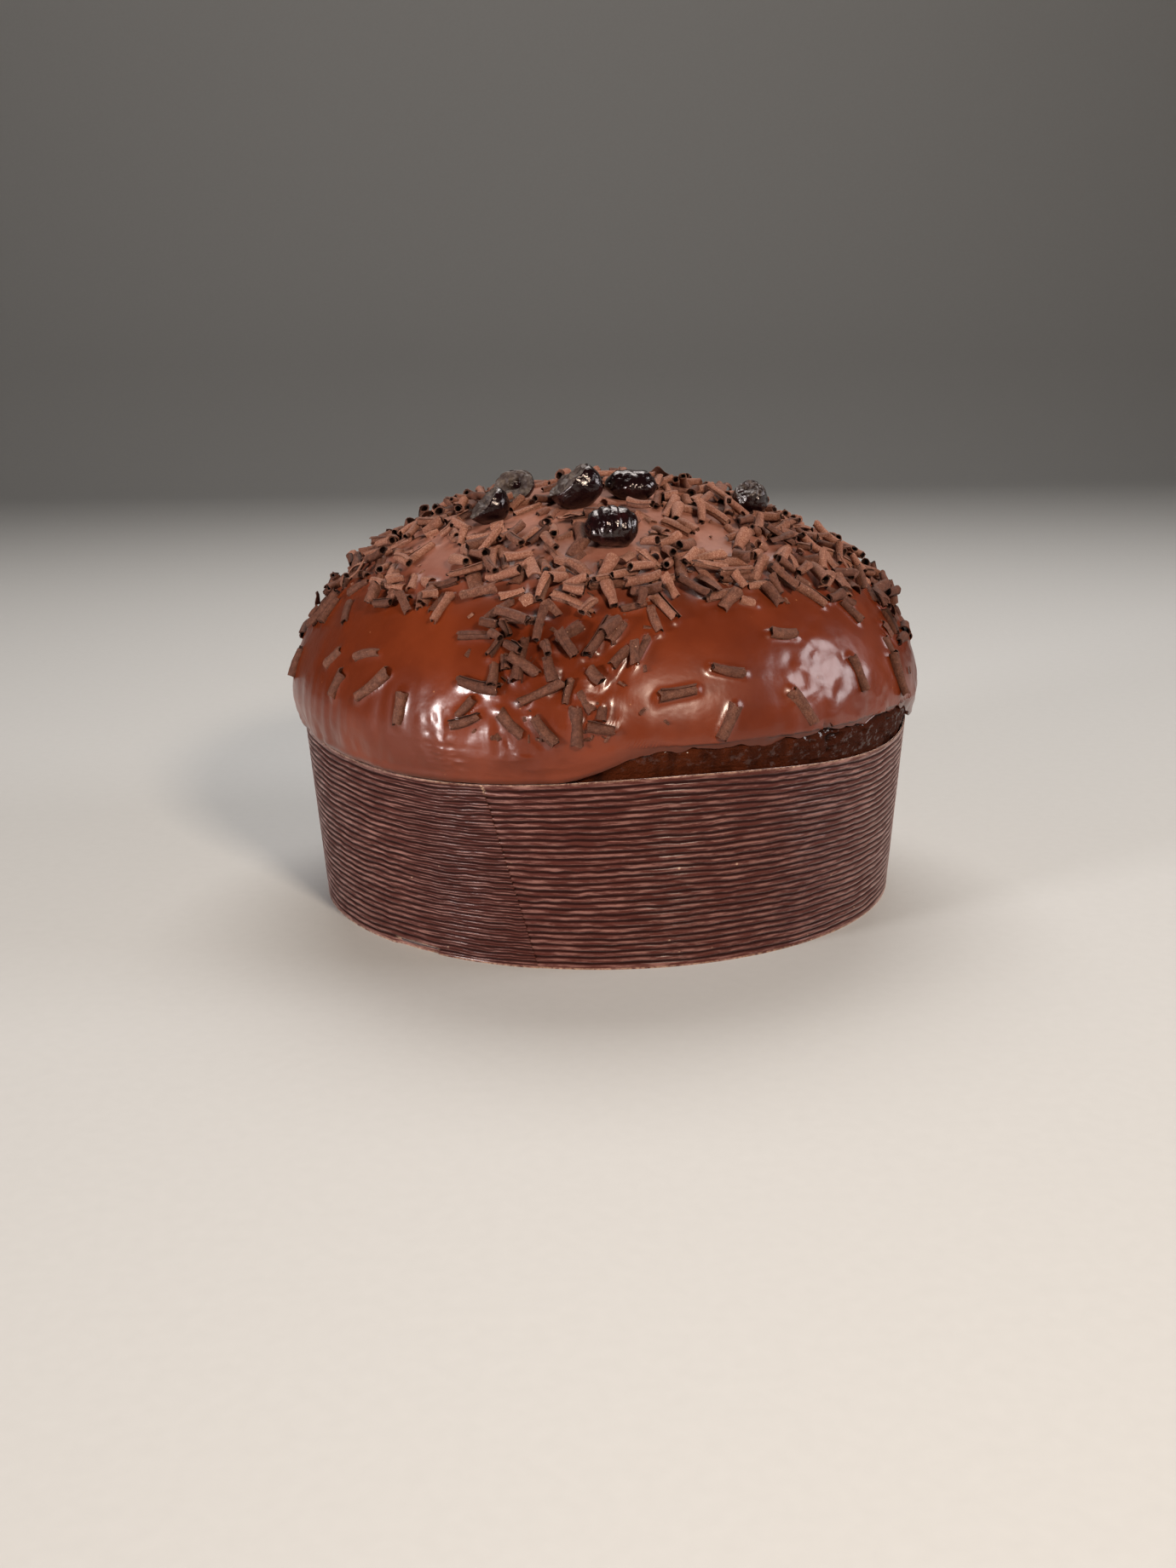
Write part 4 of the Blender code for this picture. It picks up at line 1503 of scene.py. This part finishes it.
    def _large(self, obstacles: Obstacles) -> list[Curl]:
        """Rods of the large curls, drawn by the same rule and in the same order as in the solids.

        Args:
            obstacles: What they keep clear of.

        Returns:
            The lone ones, then the strewn ones, longest first.
        """
        rng = np.random.default_rng(self.seed)
        rods = [self._rod(lone.azimuth, lone.reach, lone.turn, lone.length * MM) for lone in LONE_CURLS]
        taken = [rod.stations(self.marks, rod.length - rod.radius) for rod in rods]
        room = self.rod_radius + self.clearance
        for length in np.linspace(self.longest, self.shortest, self.strewn):
            for _ in range(self.tries):
                azimuth, reach, turn = self._draw_place(rng, DRIFTS, 1.0)
                if reach > self.lowest_strewn:
                    continue
                rod = self._rod(azimuth, reach, turn, length)
                own = rod.stations(self.marks, length - rod.radius)
                if obstacles.near_cherry(own, room) or obstacles.in_patch(rod.middle):
                    continue
                apart = np.linalg.norm(own[:, None] - np.concatenate(taken)[None], axis=2)
                if apart.min() > room + self.rod_radius:
                    rods.append(rod)
                    taken.append(own)
                    break
        return rods

    def _settle(self, curl: Curl, lying: Array, radii: Array, limit: float) -> bool:
        """Lowers a curl until it rests on the glaze or on the curls under it.

        At each of its points, the height that it needs is the one at which two round rods touch:
        the lower one's height plus the root of (sum of radii)^2 - (sideways distance)^2. The curl
        takes the straight line that is nowhere below those heights, no steeper than the steepest.

        Args:
            curl: The curl, its middle on the glaze; it is moved and turned in place.
            lying: Points of the curls that already lie there, N x 3.
            radii: Radius at each of those points.
            limit: How high its upper side may lie over the glaze.

        Returns:
            False where it would pile up too high.
        """
        along = np.linspace(-0.5, 0.5, self.feelers) * (curl.length - curl.radius)
        apart = lying[None] - (curl.middle + along[:, None] * curl.direction)[:, None]
        up = apart @ curl.normal
        sideways = np.linalg.norm(apart - up[..., None] * curl.normal, axis=2)
        touch = (curl.radius + radii)[None] * self.touch
        over = np.sqrt(np.maximum(touch ** 2 - sideways ** 2, 0.0)) + up
        over[(sideways >= touch) | (np.abs(up) > self.layer)] = -1.0
        need = np.maximum(over.max(axis=1), curl.radius * self.nestle)
        lean = np.clip(np.polyfit(along, need, 1)[0], -self.steepest, self.steepest)
        height = (need - lean * along).max()
        if height + curl.radius > limit:
            return False
        curl.on_glaze = bool(height < self.resting * curl.radius)
        curl.middle = curl.middle + height * curl.normal
        turned = curl.direction + lean * curl.normal
        turned /= np.linalg.norm(turned)
        curl.normal = curl.normal - turned * (turned @ curl.normal)
        curl.normal /= np.linalg.norm(curl.normal)
        curl.direction = turned
        return True

    def _drop_small(self, curls: list[Curl], obstacles: Obstacles, rng: np.random.Generator) -> None:
        """Adds the small curls, longest first, each one settled on those before it.

        Args:
            curls: The curls that already lie there; the small ones are added to them.
            obstacles: What they keep clear of.
            rng: Source of the draws.
        """
        lying = np.concatenate([curl.stations(self.marks, self.span * curl.length) for curl in curls])
        radii = np.repeat([curl.radius for curl in curls], self.marks)
        for length in np.linspace(self.small_longest, self.small_shortest, self.small_curls):
            for _ in range(self.small_tries):
                azimuth, reach, turn = self._draw_place(rng, FINE_DRIFTS, self.small_spread)
                shape = self._draw_kind(rng, self.small_kinds)
                radius = rng.uniform(*self.small_radii) * MM
                if reach > self.lowest_strewn:
                    continue
                curl = Curl(*self.dome.lay(azimuth, reach, turn), length, radius, shape)
                raised = curl.stations(self.marks, self.span * length) + curl.normal * radius
                room = radius - self.small_overlap
                if obstacles.near_cherry(raised, room) or obstacles.in_patch(curl.middle):
                    continue
                steep = smooth_step(0.70, 0.90, reach)
                limit = self.stack_limit + (self.shoulder_limit - self.stack_limit) * steep
                if self._settle(curl, lying, radii, limit):
                    curls.append(curl)
                    lying = np.concatenate([lying, curl.stations(self.marks, self.span * length)])
                    radii = np.append(radii, np.full(self.marks, radius))
                    break

    def _drop_crumbs(self, curls: list[Curl], obstacles: Obstacles, rng: np.random.Generator) -> None:
        """Adds crumbs that lie flat on the glaze, in bare patches too.

        Args:
            curls: The curls so far; the crumbs are added to them.
            obstacles: The cherries, which they keep clear of.
            rng: Source of the draws.
        """
        for _ in range(self.crumbs):
            azimuth, reach, turn = self._draw_place(rng, FINE_DRIFTS, self.crumb_spread)
            point, direction, normal = self.dome.lay(azimuth, min(reach, self.lowest_strewn), turn)
            length = rng.uniform(*self.crumb_lengths) * MM
            radius = rng.uniform(*self.crumb_radii) * MM
            if not obstacles.near_cherry(point[None], 0.0):
                middle = point + normal * 0.5 * radius
                curls.append(Curl(middle, direction, normal, length, radius, Shape.CRUMB, on_glaze=False))

    def drop(self) -> list[Curl]:
        """All curls at rest.

        Returns:
            The large curls in the solids' order, then the small ones and the crumbs.
        """
        rng = np.random.default_rng(self.small_seed)
        obstacles = Obstacles.on(self.dome, self.cherries)
        curls = self._large(obstacles)
        for number, curl in enumerate(curls):
            if number < len(LONE_CURLS):
                curl.shape = LONE_CURLS[number].shape
            else:
                curl.shape = self._draw_kind(rng, self.large_kinds)
            curl.radius = rng.uniform(*self.large_radii) * MM
            lift = curl.radius * self.nestle - (self.rod_radius - self.rod_sunk)
            curl.middle = curl.middle + lift * curl.normal
        self._drop_small(curls, obstacles, rng)
        self._drop_crumbs(curls, obstacles, rng)
        LOG.info("%d curls in all", len(curls))
        return curls


@dataclass(frozen=True)
class Rolling:
    """How the strips of one shape are made: grid, least and most turns and shrinking, and width."""

    across: int
    stations: int
    turns: tuple
    shrink: tuple
    wide: float


ROLLINGS = {
    Shape.ROLL: Rolling(15, 5, (1.10, 1.70), (0.28, 0.50), 1.05),
    Shape.SHAVING: Rolling(9, 6, (0.45, 0.85), (0.05, 0.25), 1.12),
    Shape.FLAKE: Rolling(6, 5, (0.14, 0.26), (0.0, 0.1), 2.3),
    Shape.CRUMB: Rolling(3, 3, (0.2, 0.6), (0.0, 0.3), 1.2),
}


@dataclass(frozen=True)
class CurlMeshes:
    """Turns the fallen curls into rolled strips, one piece for each shape.

    Attributes:
        thickness: Thickness of the shaved strip.
        seed: Picks the draws that make each curl different.
        unshaded_within: Distance from the middle axis within which curls keep their full tone.
        shaded_beyond: Distance beyond which they are darkest, as painted shade low on the dome.
        low_painted_shade: How much of their stored shade is taken away there, as painted shade.
        sharp: Angle from which an edge stays sharp, in degrees.
    """

    thickness: float = 0.42 * MM
    seed: int = 7
    unshaded_within: float = 86 * MM
    shaded_beyond: float = 96 * MM
    low_painted_shade: float = 0.85
    sharp: float = 62

    def _strips(self, curls: list[Curl], shape: Shape) -> tuple[Array, Array, Array]:
        """Points of all strips of one shape.

        Across the strip the angle grows from its start by the strip's turns and the radius shrinks, a
        spiral. Along the strip the radius tapers, the axis bends and the ends run slantwise and ragged.

        Args:
            curls: The curls of that shape.
            shape: Their shape.

        Returns:
            Points as strips x stations x loop x 3, each point's shade with painted shade low on the dome,
            and 1 on inner faces.
        """
        rng = np.random.default_rng(self.seed + len(curls))
        rolling = ROLLINGS[shape]
        rolled = shape is Shape.ROLL

        def draw(low: float, high: float) -> Array:
            """One random number for each curl, shaped to spread over stations and loop."""
            return rng.uniform(low, high, len(curls))[:, None, None]

        def given(name: str) -> Array:
            """One property of each curl, shaped in the same way."""
            return np.array([getattr(curl, name) for curl in curls])[:, None, None]

        middle, direction, normal = given("middle"), given("direction"), given("normal")
        length, radius = given("length"), given("radius") * rolling.wide
        u = np.linspace(0, 1, rolling.across)
        u = np.concatenate([u, u[::-1]])[None, None]
        face = np.repeat([1.0, -1.0], rolling.across)[None, None]
        v = np.linspace(-1, 1, rolling.stations)[None, :, None]
        turns = draw(*rolling.turns)
        start = draw(0, TAU) if rolled else draw(-0.4, 0.4) + math.pi / 2 - math.pi * turns
        angle = start + TAU * turns * u + draw(-0.35, 0.35) * v
        taper = 1 + draw(-0.20, 0.20) * v
        wobble = 1 + 0.07 * np.sin(draw(1.5, 4) * v + draw(0, TAU)) + 0.05 * np.sin(2 * angle + draw(0, TAU))
        thickness = self.thickness * draw(0.75, 1.3) * (0.55 + 0.45 * np.sin(math.pi * u) ** 0.5)
        grain = 0.05 * MM * rng.normal(size=(len(curls), rolling.stations, 2 * rolling.across))
        spiral = radius * (1 - draw(*rolling.shrink) * u) * taper * wobble + face * thickness / 2 + grain
        slant = draw(-0.28, 0.28) * (u - 0.5) + 0.06 * np.sin(angle * 2.7 + draw(0, TAU))
        pull = draw(-0.05, 0.05) * np.sin(5.3 * u + draw(0, TAU))
        along = length / 2 * (v * (1 + pull) + slant * np.abs(v) ** 1.5)
        flat = draw(0.80, 1.0)
        bow = (v * v - 0.4) * length
        bend = draw(-0.05, 0.05) * bow
        sag = 0.0 if rolled else radius * (1 - 0.5 / rolling.wide)
        out = spiral * np.sin(angle) * flat + bend - sag
        sideways = spiral * np.cos(angle) + draw(-0.05, 0.05) * bow
        side = np.cross(direction, normal)
        points = middle + along[..., None] * direction + out[..., None] * normal + sideways[..., None] * side
        # Painted shade: curls far from the middle axis, low on the dome, get a lower shade and so a darker
        # colour.
        spread = np.linalg.norm(middle[..., :2], axis=-1)
        kept = 1 - self.low_painted_shade * smooth_step(self.unshaded_within, self.shaded_beyond, spread)
        shade = draw(0.0, 1.0) * kept + 0 * along
        # Painted shade: 1 on inner faces and on the innermost turn of a roll, which the material paints near
        # black.
        hidden = np.where(face < 0, 1.0, smooth_step(0.55, 0.95, u) * (turns > 1)) + 0 * along
        return points, shade, hidden * (1.0 if rolled else 0.35)

    def build(self, curls: list[Curl], finish: ShavedChocolate) -> None:
        """One piece for each shape of curl.

        Args:
            curls: The curls at rest.
            finish: The shaved chocolate.
        """
        material = finish.material()
        for shape in Shape:
            points, shade, inside = self._strips([curl for curl in curls if curl.shape is shape], shape)
            mesh = mesh_from_sleeves(shape.value, points)
            mesh.set_sharp_from_angle(angle=math.radians(self.sharp))
            store(mesh, shade=shade, inside=inside)
            add_piece(mesh, material, "chocolate_glaze", "glaze")


# Glaze

@dataclass(frozen=True)
class Ripple:
    """A patch of livelier glaze: its place, its radius, lump size and height in millimetres.

    Creased lumps meet in sharp lines. Crinkled is how much fine wrinkling the finish adds there.
    """

    azimuth: float
    reach: float
    radius: float
    lump: float
    height: float
    creased: bool = False
    crinkled: float = 1.0


@dataclass(frozen=True)
class Glaze:
    """The skin of chocolate over the dome.

    Attributes:
        dome: The shared sizes.
        thickness: Thickness of the glaze.
        bead: How proud the rolled edge at the hem is.
        run: Height of the runs on the flanks.
        collar: How far the glaze climbs round a curl that lies in it.
        ragged: How far the hem strays up and down, in reach.
        thinning: How much thinner the skin gets towards a hem that stops short.
        closer: How much closer together the grid's columns are at the front.
        columns: The grid's columns.
        rows: Its rows from crown to hem.
        first_row: Share of the way to the hem where the first of them lies.
        row_power: Power of the even share that gives a row's place.
        inner_rows: Rows of the inner face.
        lip_depths: Depths of the rolled edge's rows, in millimetres.
        ripples: Where the surface is lively.
    """

    dome: Dome
    thickness: float = 2.0 * MM
    bead: float = 0.45 * MM
    run: float = 1.05 * MM
    collar: float = 0.60 * MM
    ragged: float = 0.28
    thinning: float = 1.2 * MM
    closer: float = 0.4
    columns: int = 452
    rows: int = 188
    first_row: float = 0.006
    row_power: float = 0.93
    inner_rows: int = 14
    lip_depths: tuple = (0.35, 0.9, 1.5)
    ripples: tuple = (
        Ripple(-27, 1.06, radius=8, lump=3.4, height=1.10, creased=True),
        Ripple(-27, 0.95, radius=12, lump=5.0, height=0.45, crinkled=0.8),
        Ripple(-7, 0.82, radius=15, lump=7.0, height=2.10),
        Ripple(-5, 0.74, radius=11, lump=6.5, height=1.20, creased=True),
        Ripple(-13, 0.97, radius=14, lump=6.5, height=1.20, creased=True),
        Ripple(-1, 0.78, radius=7, lump=5.0, height=1.50),
        Ripple(38, 0.85, radius=17, lump=5.5, height=0.85, crinkled=0.5),
        Ripple(52, 1.04, radius=15, lump=5.5, height=0.85),
        Ripple(74, 1.00, radius=15, lump=6.0, height=0.80),
        Ripple(-66, 0.86, radius=16, lump=8.0, height=0.40),
        Ripple(120, 0.85, radius=20, lump=7.0, height=0.6),
        Ripple(175, 0.94, radius=22, lump=8.0, height=0.7),
        Ripple(230, 0.86, radius=20, lump=7.0, height=0.6),
    )

    def _relief(self, azimuth: Array, reach: Array, flat: Array, to_hem: Array) -> tuple[Array, Array]:
        """Height of the fine forms over the even surface.

        Ripples are noise within a bell. Runs are noise round the axis that hardly changes downwards,
        faint but for the left flank. The bead is a bell along the hem, faint where it stops short.

        Args:
            azimuth: Azimuths.
            reach: Reaches.
            flat: Points of the even surface.
            to_hem: Distance to the hem.

        Returns:
            Heights, and how lively the surface is, from 0 to 1.
        """
        total = 0.16 * MM * Noise(31).layered(flat, 15 * MM, 2)
        lively = np.full(reach.shape, 0.12)
        for number, ripple in enumerate(self.ripples):
            window = bell(np.linalg.norm(flat - self.dome.spot(ripple), axis=-1), ripple.radius * MM)
            lumps = Noise(200 + number).layered(flat, ripple.lump * MM, 2, ripple.creased)
            if ripple.creased:
                lumps = 1.5 * (lumps - 0.62)
            total += ripple.height * MM * window * lumps
            lively = np.maximum(lively, window * ripple.crinkled * min(1.0, 1.4 * ripple.height))
        warp = 0.8 * Noise(39).at(flat, 20 * MM)
        stripes = Noise(33).layered(round_axis(azimuth + warp / 23, 23, 1.1 * reach), 1.0, 2)
        flank = smooth_step(0.70, 1.00, reach) * (0.22 + 0.78 * bell(signed_degrees(azimuth) + 64, 34))
        total += self.run * stripes * flank
        edge = Noise(35).at(round_axis(azimuth, 9, 0.0), 1.0)
        rolled = self.bead * (1 - self.dome.bareness(azimuth) + 0.5 * edge)
        return total + rolled * bell(to_hem - 1.3 * MM, 1.3 * MM), lively

    def _collars(self, points: Array, curls: list[Curl]) -> Array:
        """How far the glaze climbs round the curls that lie in it.

        Args:
            points: Points of the glaze.
            curls: The curls at rest.

        Returns:
            A bell of the distance to the nearest curl, from 0 to 1.
        """
        climb = np.zeros(points.shape[:-1])
        for curl in curls:
            if not curl.on_glaze:
                continue
            near = np.abs(points - curl.middle).max(axis=-1) < curl.length / 2 + 6 * MM
            apart = points[near] - curl.middle
            along = np.clip(apart @ curl.direction, -curl.length / 2, curl.length / 2)
            gap = np.linalg.norm(apart - along[..., None] * curl.direction, axis=-1)
            climb[near] = np.maximum(climb[near], bell(np.maximum(gap - 0.8 * curl.radius, 0.0), 1.0 * MM))
        return climb

    def build(self, finish: ChocolateGlaze, curls: list[Curl]) -> None:
        """Outer face, rolled hem and inner face of the skin.

        Args:
            finish: The chocolate.
            curls: The curls at rest, round which it climbs.
        """
        dome = self.dome
        even = np.arange(self.columns) / self.columns
        ring = (TAU * even - self.closer * np.sin(TAU * even))[None]
        bare = dome.bareness(ring)
        even_hem = dome.hem_reach(ring) - 0.02 * bare
        hem = even_hem + self.ragged * bare * Noise(37).layered(round_axis(ring, 16, 0.0), 1.0, 3)
        share = np.linspace(self.first_row, 1.0, self.rows)[:, None] ** self.row_power
        reach = share * even_hem + (hem - even_hem) * smooth_step(0.86, 1.0, share)
        azimuth = ring + 0 * reach
        flat, normal = dome.point(azimuth, reach)
        drop = dome.shoulder - dome.rim_height(azimuth) - dome.touch_gap
        to_hem = (hem - reach) * np.where(reach > 1, drop, 0.16)
        relief, lively = self._relief(azimuth, reach, flat, to_hem)
        collars = self._collars(flat, curls)
        relief = (relief + self.collar * collars) * smooth_step(0.0, 0.7 * MM, to_hem + 0.35 * MM)
        thinning = self.thinning * bare * smooth_step(6.0 * MM, 0.0, to_hem)
        outer = flat + normal * (relief - thinning)[..., None]
        lip_depth = np.array(self.lip_depths)[:, None]
        lips, _ = dome.point(ring, hem, (lip_depth + 0.7 * (1.8 - lip_depth) * bare) * MM)
        inner, _ = dome.point(ring, np.linspace(1.0, 0.05, self.inner_rows)[:, None] * hem, self.thickness)
        top, under = np.array([0, 0, dome.top]), np.array([0, 0, dome.top - self.thickness])
        mesh = mesh_from_rings("chocolate_glaze", top, np.concatenate([outer, lips, inner]), under)
        # crown is where the glaze is rougher and where its painted reflection lies.
        crown = smooth_step(0.66, 0.34, reach)
        thin_hem = smooth_step(6.5 * MM, 0.3 * MM, to_hem) * bare
        # Painted shade: the last 2.6 mm above every hem are darkened too, besides the real thinning where
        # the hem stops short.
        thin = np.maximum(thin_hem, 0.7 * smooth_step(2.6 * MM, 0.0, to_hem))
        hidden = np.zeros((len(lips) + len(inner)) * self.columns + 1)
        numbers = {"crown": crown, "thin": thin, "lively": np.maximum(lively, 0.6 * collars)}
        for name, values in numbers.items():
            store(mesh, **{name: np.concatenate([[values[0, 0]], values.ravel(), hidden])})
        add_piece(mesh, finish.material(), "chocolate_glaze", "glaze")


# Studio

@dataclass(frozen=True)
class Lamp:
    """A soft square lamp: what it is aimed at, its direction from there, its distance, size and power."""

    name: str
    aim: tuple
    towards: tuple
    distance: float
    width: float
    height: float
    power: float
    colour: tuple

    def build(self) -> None:
        """Area lamp that faces its aim."""
        light = bpy.data.lights.new(self.name, "AREA")
        light.shape = "RECTANGLE"
        light.size = self.width
        light.size_y = self.height
        light.energy = self.power
        light.color = self.colour
        back = np.array(self.towards) / np.linalg.norm(self.towards)
        side = np.cross((0.0, 0.0, 1.0), back)
        side = side / np.linalg.norm(side)
        turn = Matrix(np.stack([side, np.cross(back, side), back], axis=1).tolist())
        place = Matrix.Translation(np.array(self.aim) + back * self.distance)
        link(self.name, light).matrix_world = place @ turn.to_4x4()


@dataclass(frozen=True)
class Studio:
    """Pale floor, soft lamps and the camera at the photograph's angle.

    Attributes:
        focal: Focal length in pixels of the photograph.
        frame_height: Height of the photograph in pixels.
        pitch: How far the camera looks down, in degrees.
        roll: How far it is turned about its own axis, in degrees.
        eye: Its place.
        sensor: Its sensor in millimetres, along the frame's height.
        near: Distance from which it sees things.
        floor_x: How far the floor reaches to the left and right.
        floor_y: How far it reaches to the front and back before it sweeps up.
        sweep: Radius of that sweep.
        wall: Height of the wall behind it.
        air: Strength of the even light from all round.
        air_colour: Its colour.
        lamps: The lamps.
    """

    focal: float = 2000.0
    frame_height: float = 1840.0
    pitch: float = 14.68
    roll: float = -0.92
    eye: tuple = (-0.0064, -0.5959, 0.1892)
    sensor: float = 36.0
    near: float = 0.02
    floor_x: tuple = (-5.0, 5.0)
    floor_y: tuple = (-4.0, 1.6)
    sweep: float = 1.0
    wall: float = 4.5
    air: float = 0.03
    air_colour: tuple = (0.92, 0.95, 1.0, 1.0)
    lamps: tuple = (
        Lamp("overhead", aim=(0.0, -0.02, 0.14), towards=(0.02, 0.66, 1.0), distance=1.2,
             width=0.95, height=0.66, power=13.2, colour=(1.0, 0.95, 0.91)),
        Lamp("left_window", aim=(-0.048, -0.098, 0.078), towards=(-0.82, -0.55, 0.14), distance=1.25,
             width=0.26, height=0.25, power=17.0, colour=(1.0, 0.96, 0.95)),
        Lamp("right_window", aim=(0.065, -0.083, 0.089), towards=(0.92, -0.03, 0.36), distance=1.25,
             width=0.60, height=0.50, power=8.6, colour=(0.98, 0.97, 1.0)),
        Lamp("warm_spot", aim=(0.018, -0.105, 0.087), towards=(0.36, -0.79, 0.50), distance=1.20,
             width=0.20, height=0.14, power=14.3, colour=(1.0, 0.84, 0.68)),
    )

    def _add_camera(self) -> None:
        """Camera that sees the photograph's frame."""
        camera = bpy.data.cameras.new("camera")
        camera.sensor_width = self.sensor
        camera.lens = self.focal * self.sensor / self.frame_height
        camera.clip_start = self.near
        turn = Euler((math.radians(90 - self.pitch), 0, 0)).to_matrix()
        turn = turn @ Matrix.Rotation(math.radians(self.roll), 3, "Z")
        piece = link("camera", camera)
        piece.matrix_world = Matrix.Translation(self.eye) @ turn.to_4x4()
        bpy.context.scene.camera = piece

    def _add_floor(self, finish: PaleFloor) -> None:
        """Floor that sweeps up behind the cake in a quarter circle.

        Args:
            finish: Its finish.
        """
        bend = np.linspace(0.0, math.pi / 2, 24)[1:]
        back = self.floor_y[1]
        y = np.concatenate([self.floor_y, back + self.sweep * np.sin(bend), [back + self.sweep]])
        z = np.concatenate([[0.0, 0.0], self.sweep * (1 - np.cos(bend)), [self.wall]])
        points = np.stack([np.tile(self.floor_x, len(y)), np.repeat(y, 2), np.repeat(z, 2)], axis=-1)
        row = 2 * np.arange(len(y) - 1)
        mesh = mesh_from_faces("floor", points, np.stack([row, row + 1, row + 3, row + 2], axis=-1))
        mesh.materials.append(finish.material())
        link("floor", mesh)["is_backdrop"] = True

    def _add_air(self) -> None:
        """Even, dim light from all round, and colours shown as they are."""
        world = bpy.data.worlds.new("studio")
        world.use_nodes = True
        background = world.node_tree.nodes["Background"]
        background.inputs["Color"].default_value = self.air_colour
        background.inputs["Strength"].default_value = self.air
        bpy.context.scene.world = world
        bpy.context.scene.view_settings.view_transform = "Standard"

    def build(self) -> None:
        """The whole set."""
        self._add_floor(PaleFloor())
        for lamp in self.lamps:
            lamp.build()
        self._add_air()
        self._add_camera()


def corners() -> list[list[float]]:
    """The object's lowest and highest corner as plain numbers."""
    return [[float(value) for value in corner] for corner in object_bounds()]


def main() -> None:
    """Builds every piece in turn, then the studio."""
    logging.basicConfig(level=logging.INFO, format="%(name)s: %(message)s")
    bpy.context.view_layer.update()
    dome = Dome()
    cherries = Cherries(dome)
    PaperCase(dome).build(RibbedPaper())
    Dough(dome).build(DarkCrust())
    curls = CurlFall(dome, cherries).drop()
    Glaze(dome).build(ChocolateGlaze(), curls)
    CurlMeshes().build(curls, ShavedChocolate())
    cherries.build(CandiedCherry())
    Studio().build()


if __name__ == "__main__":
    main()
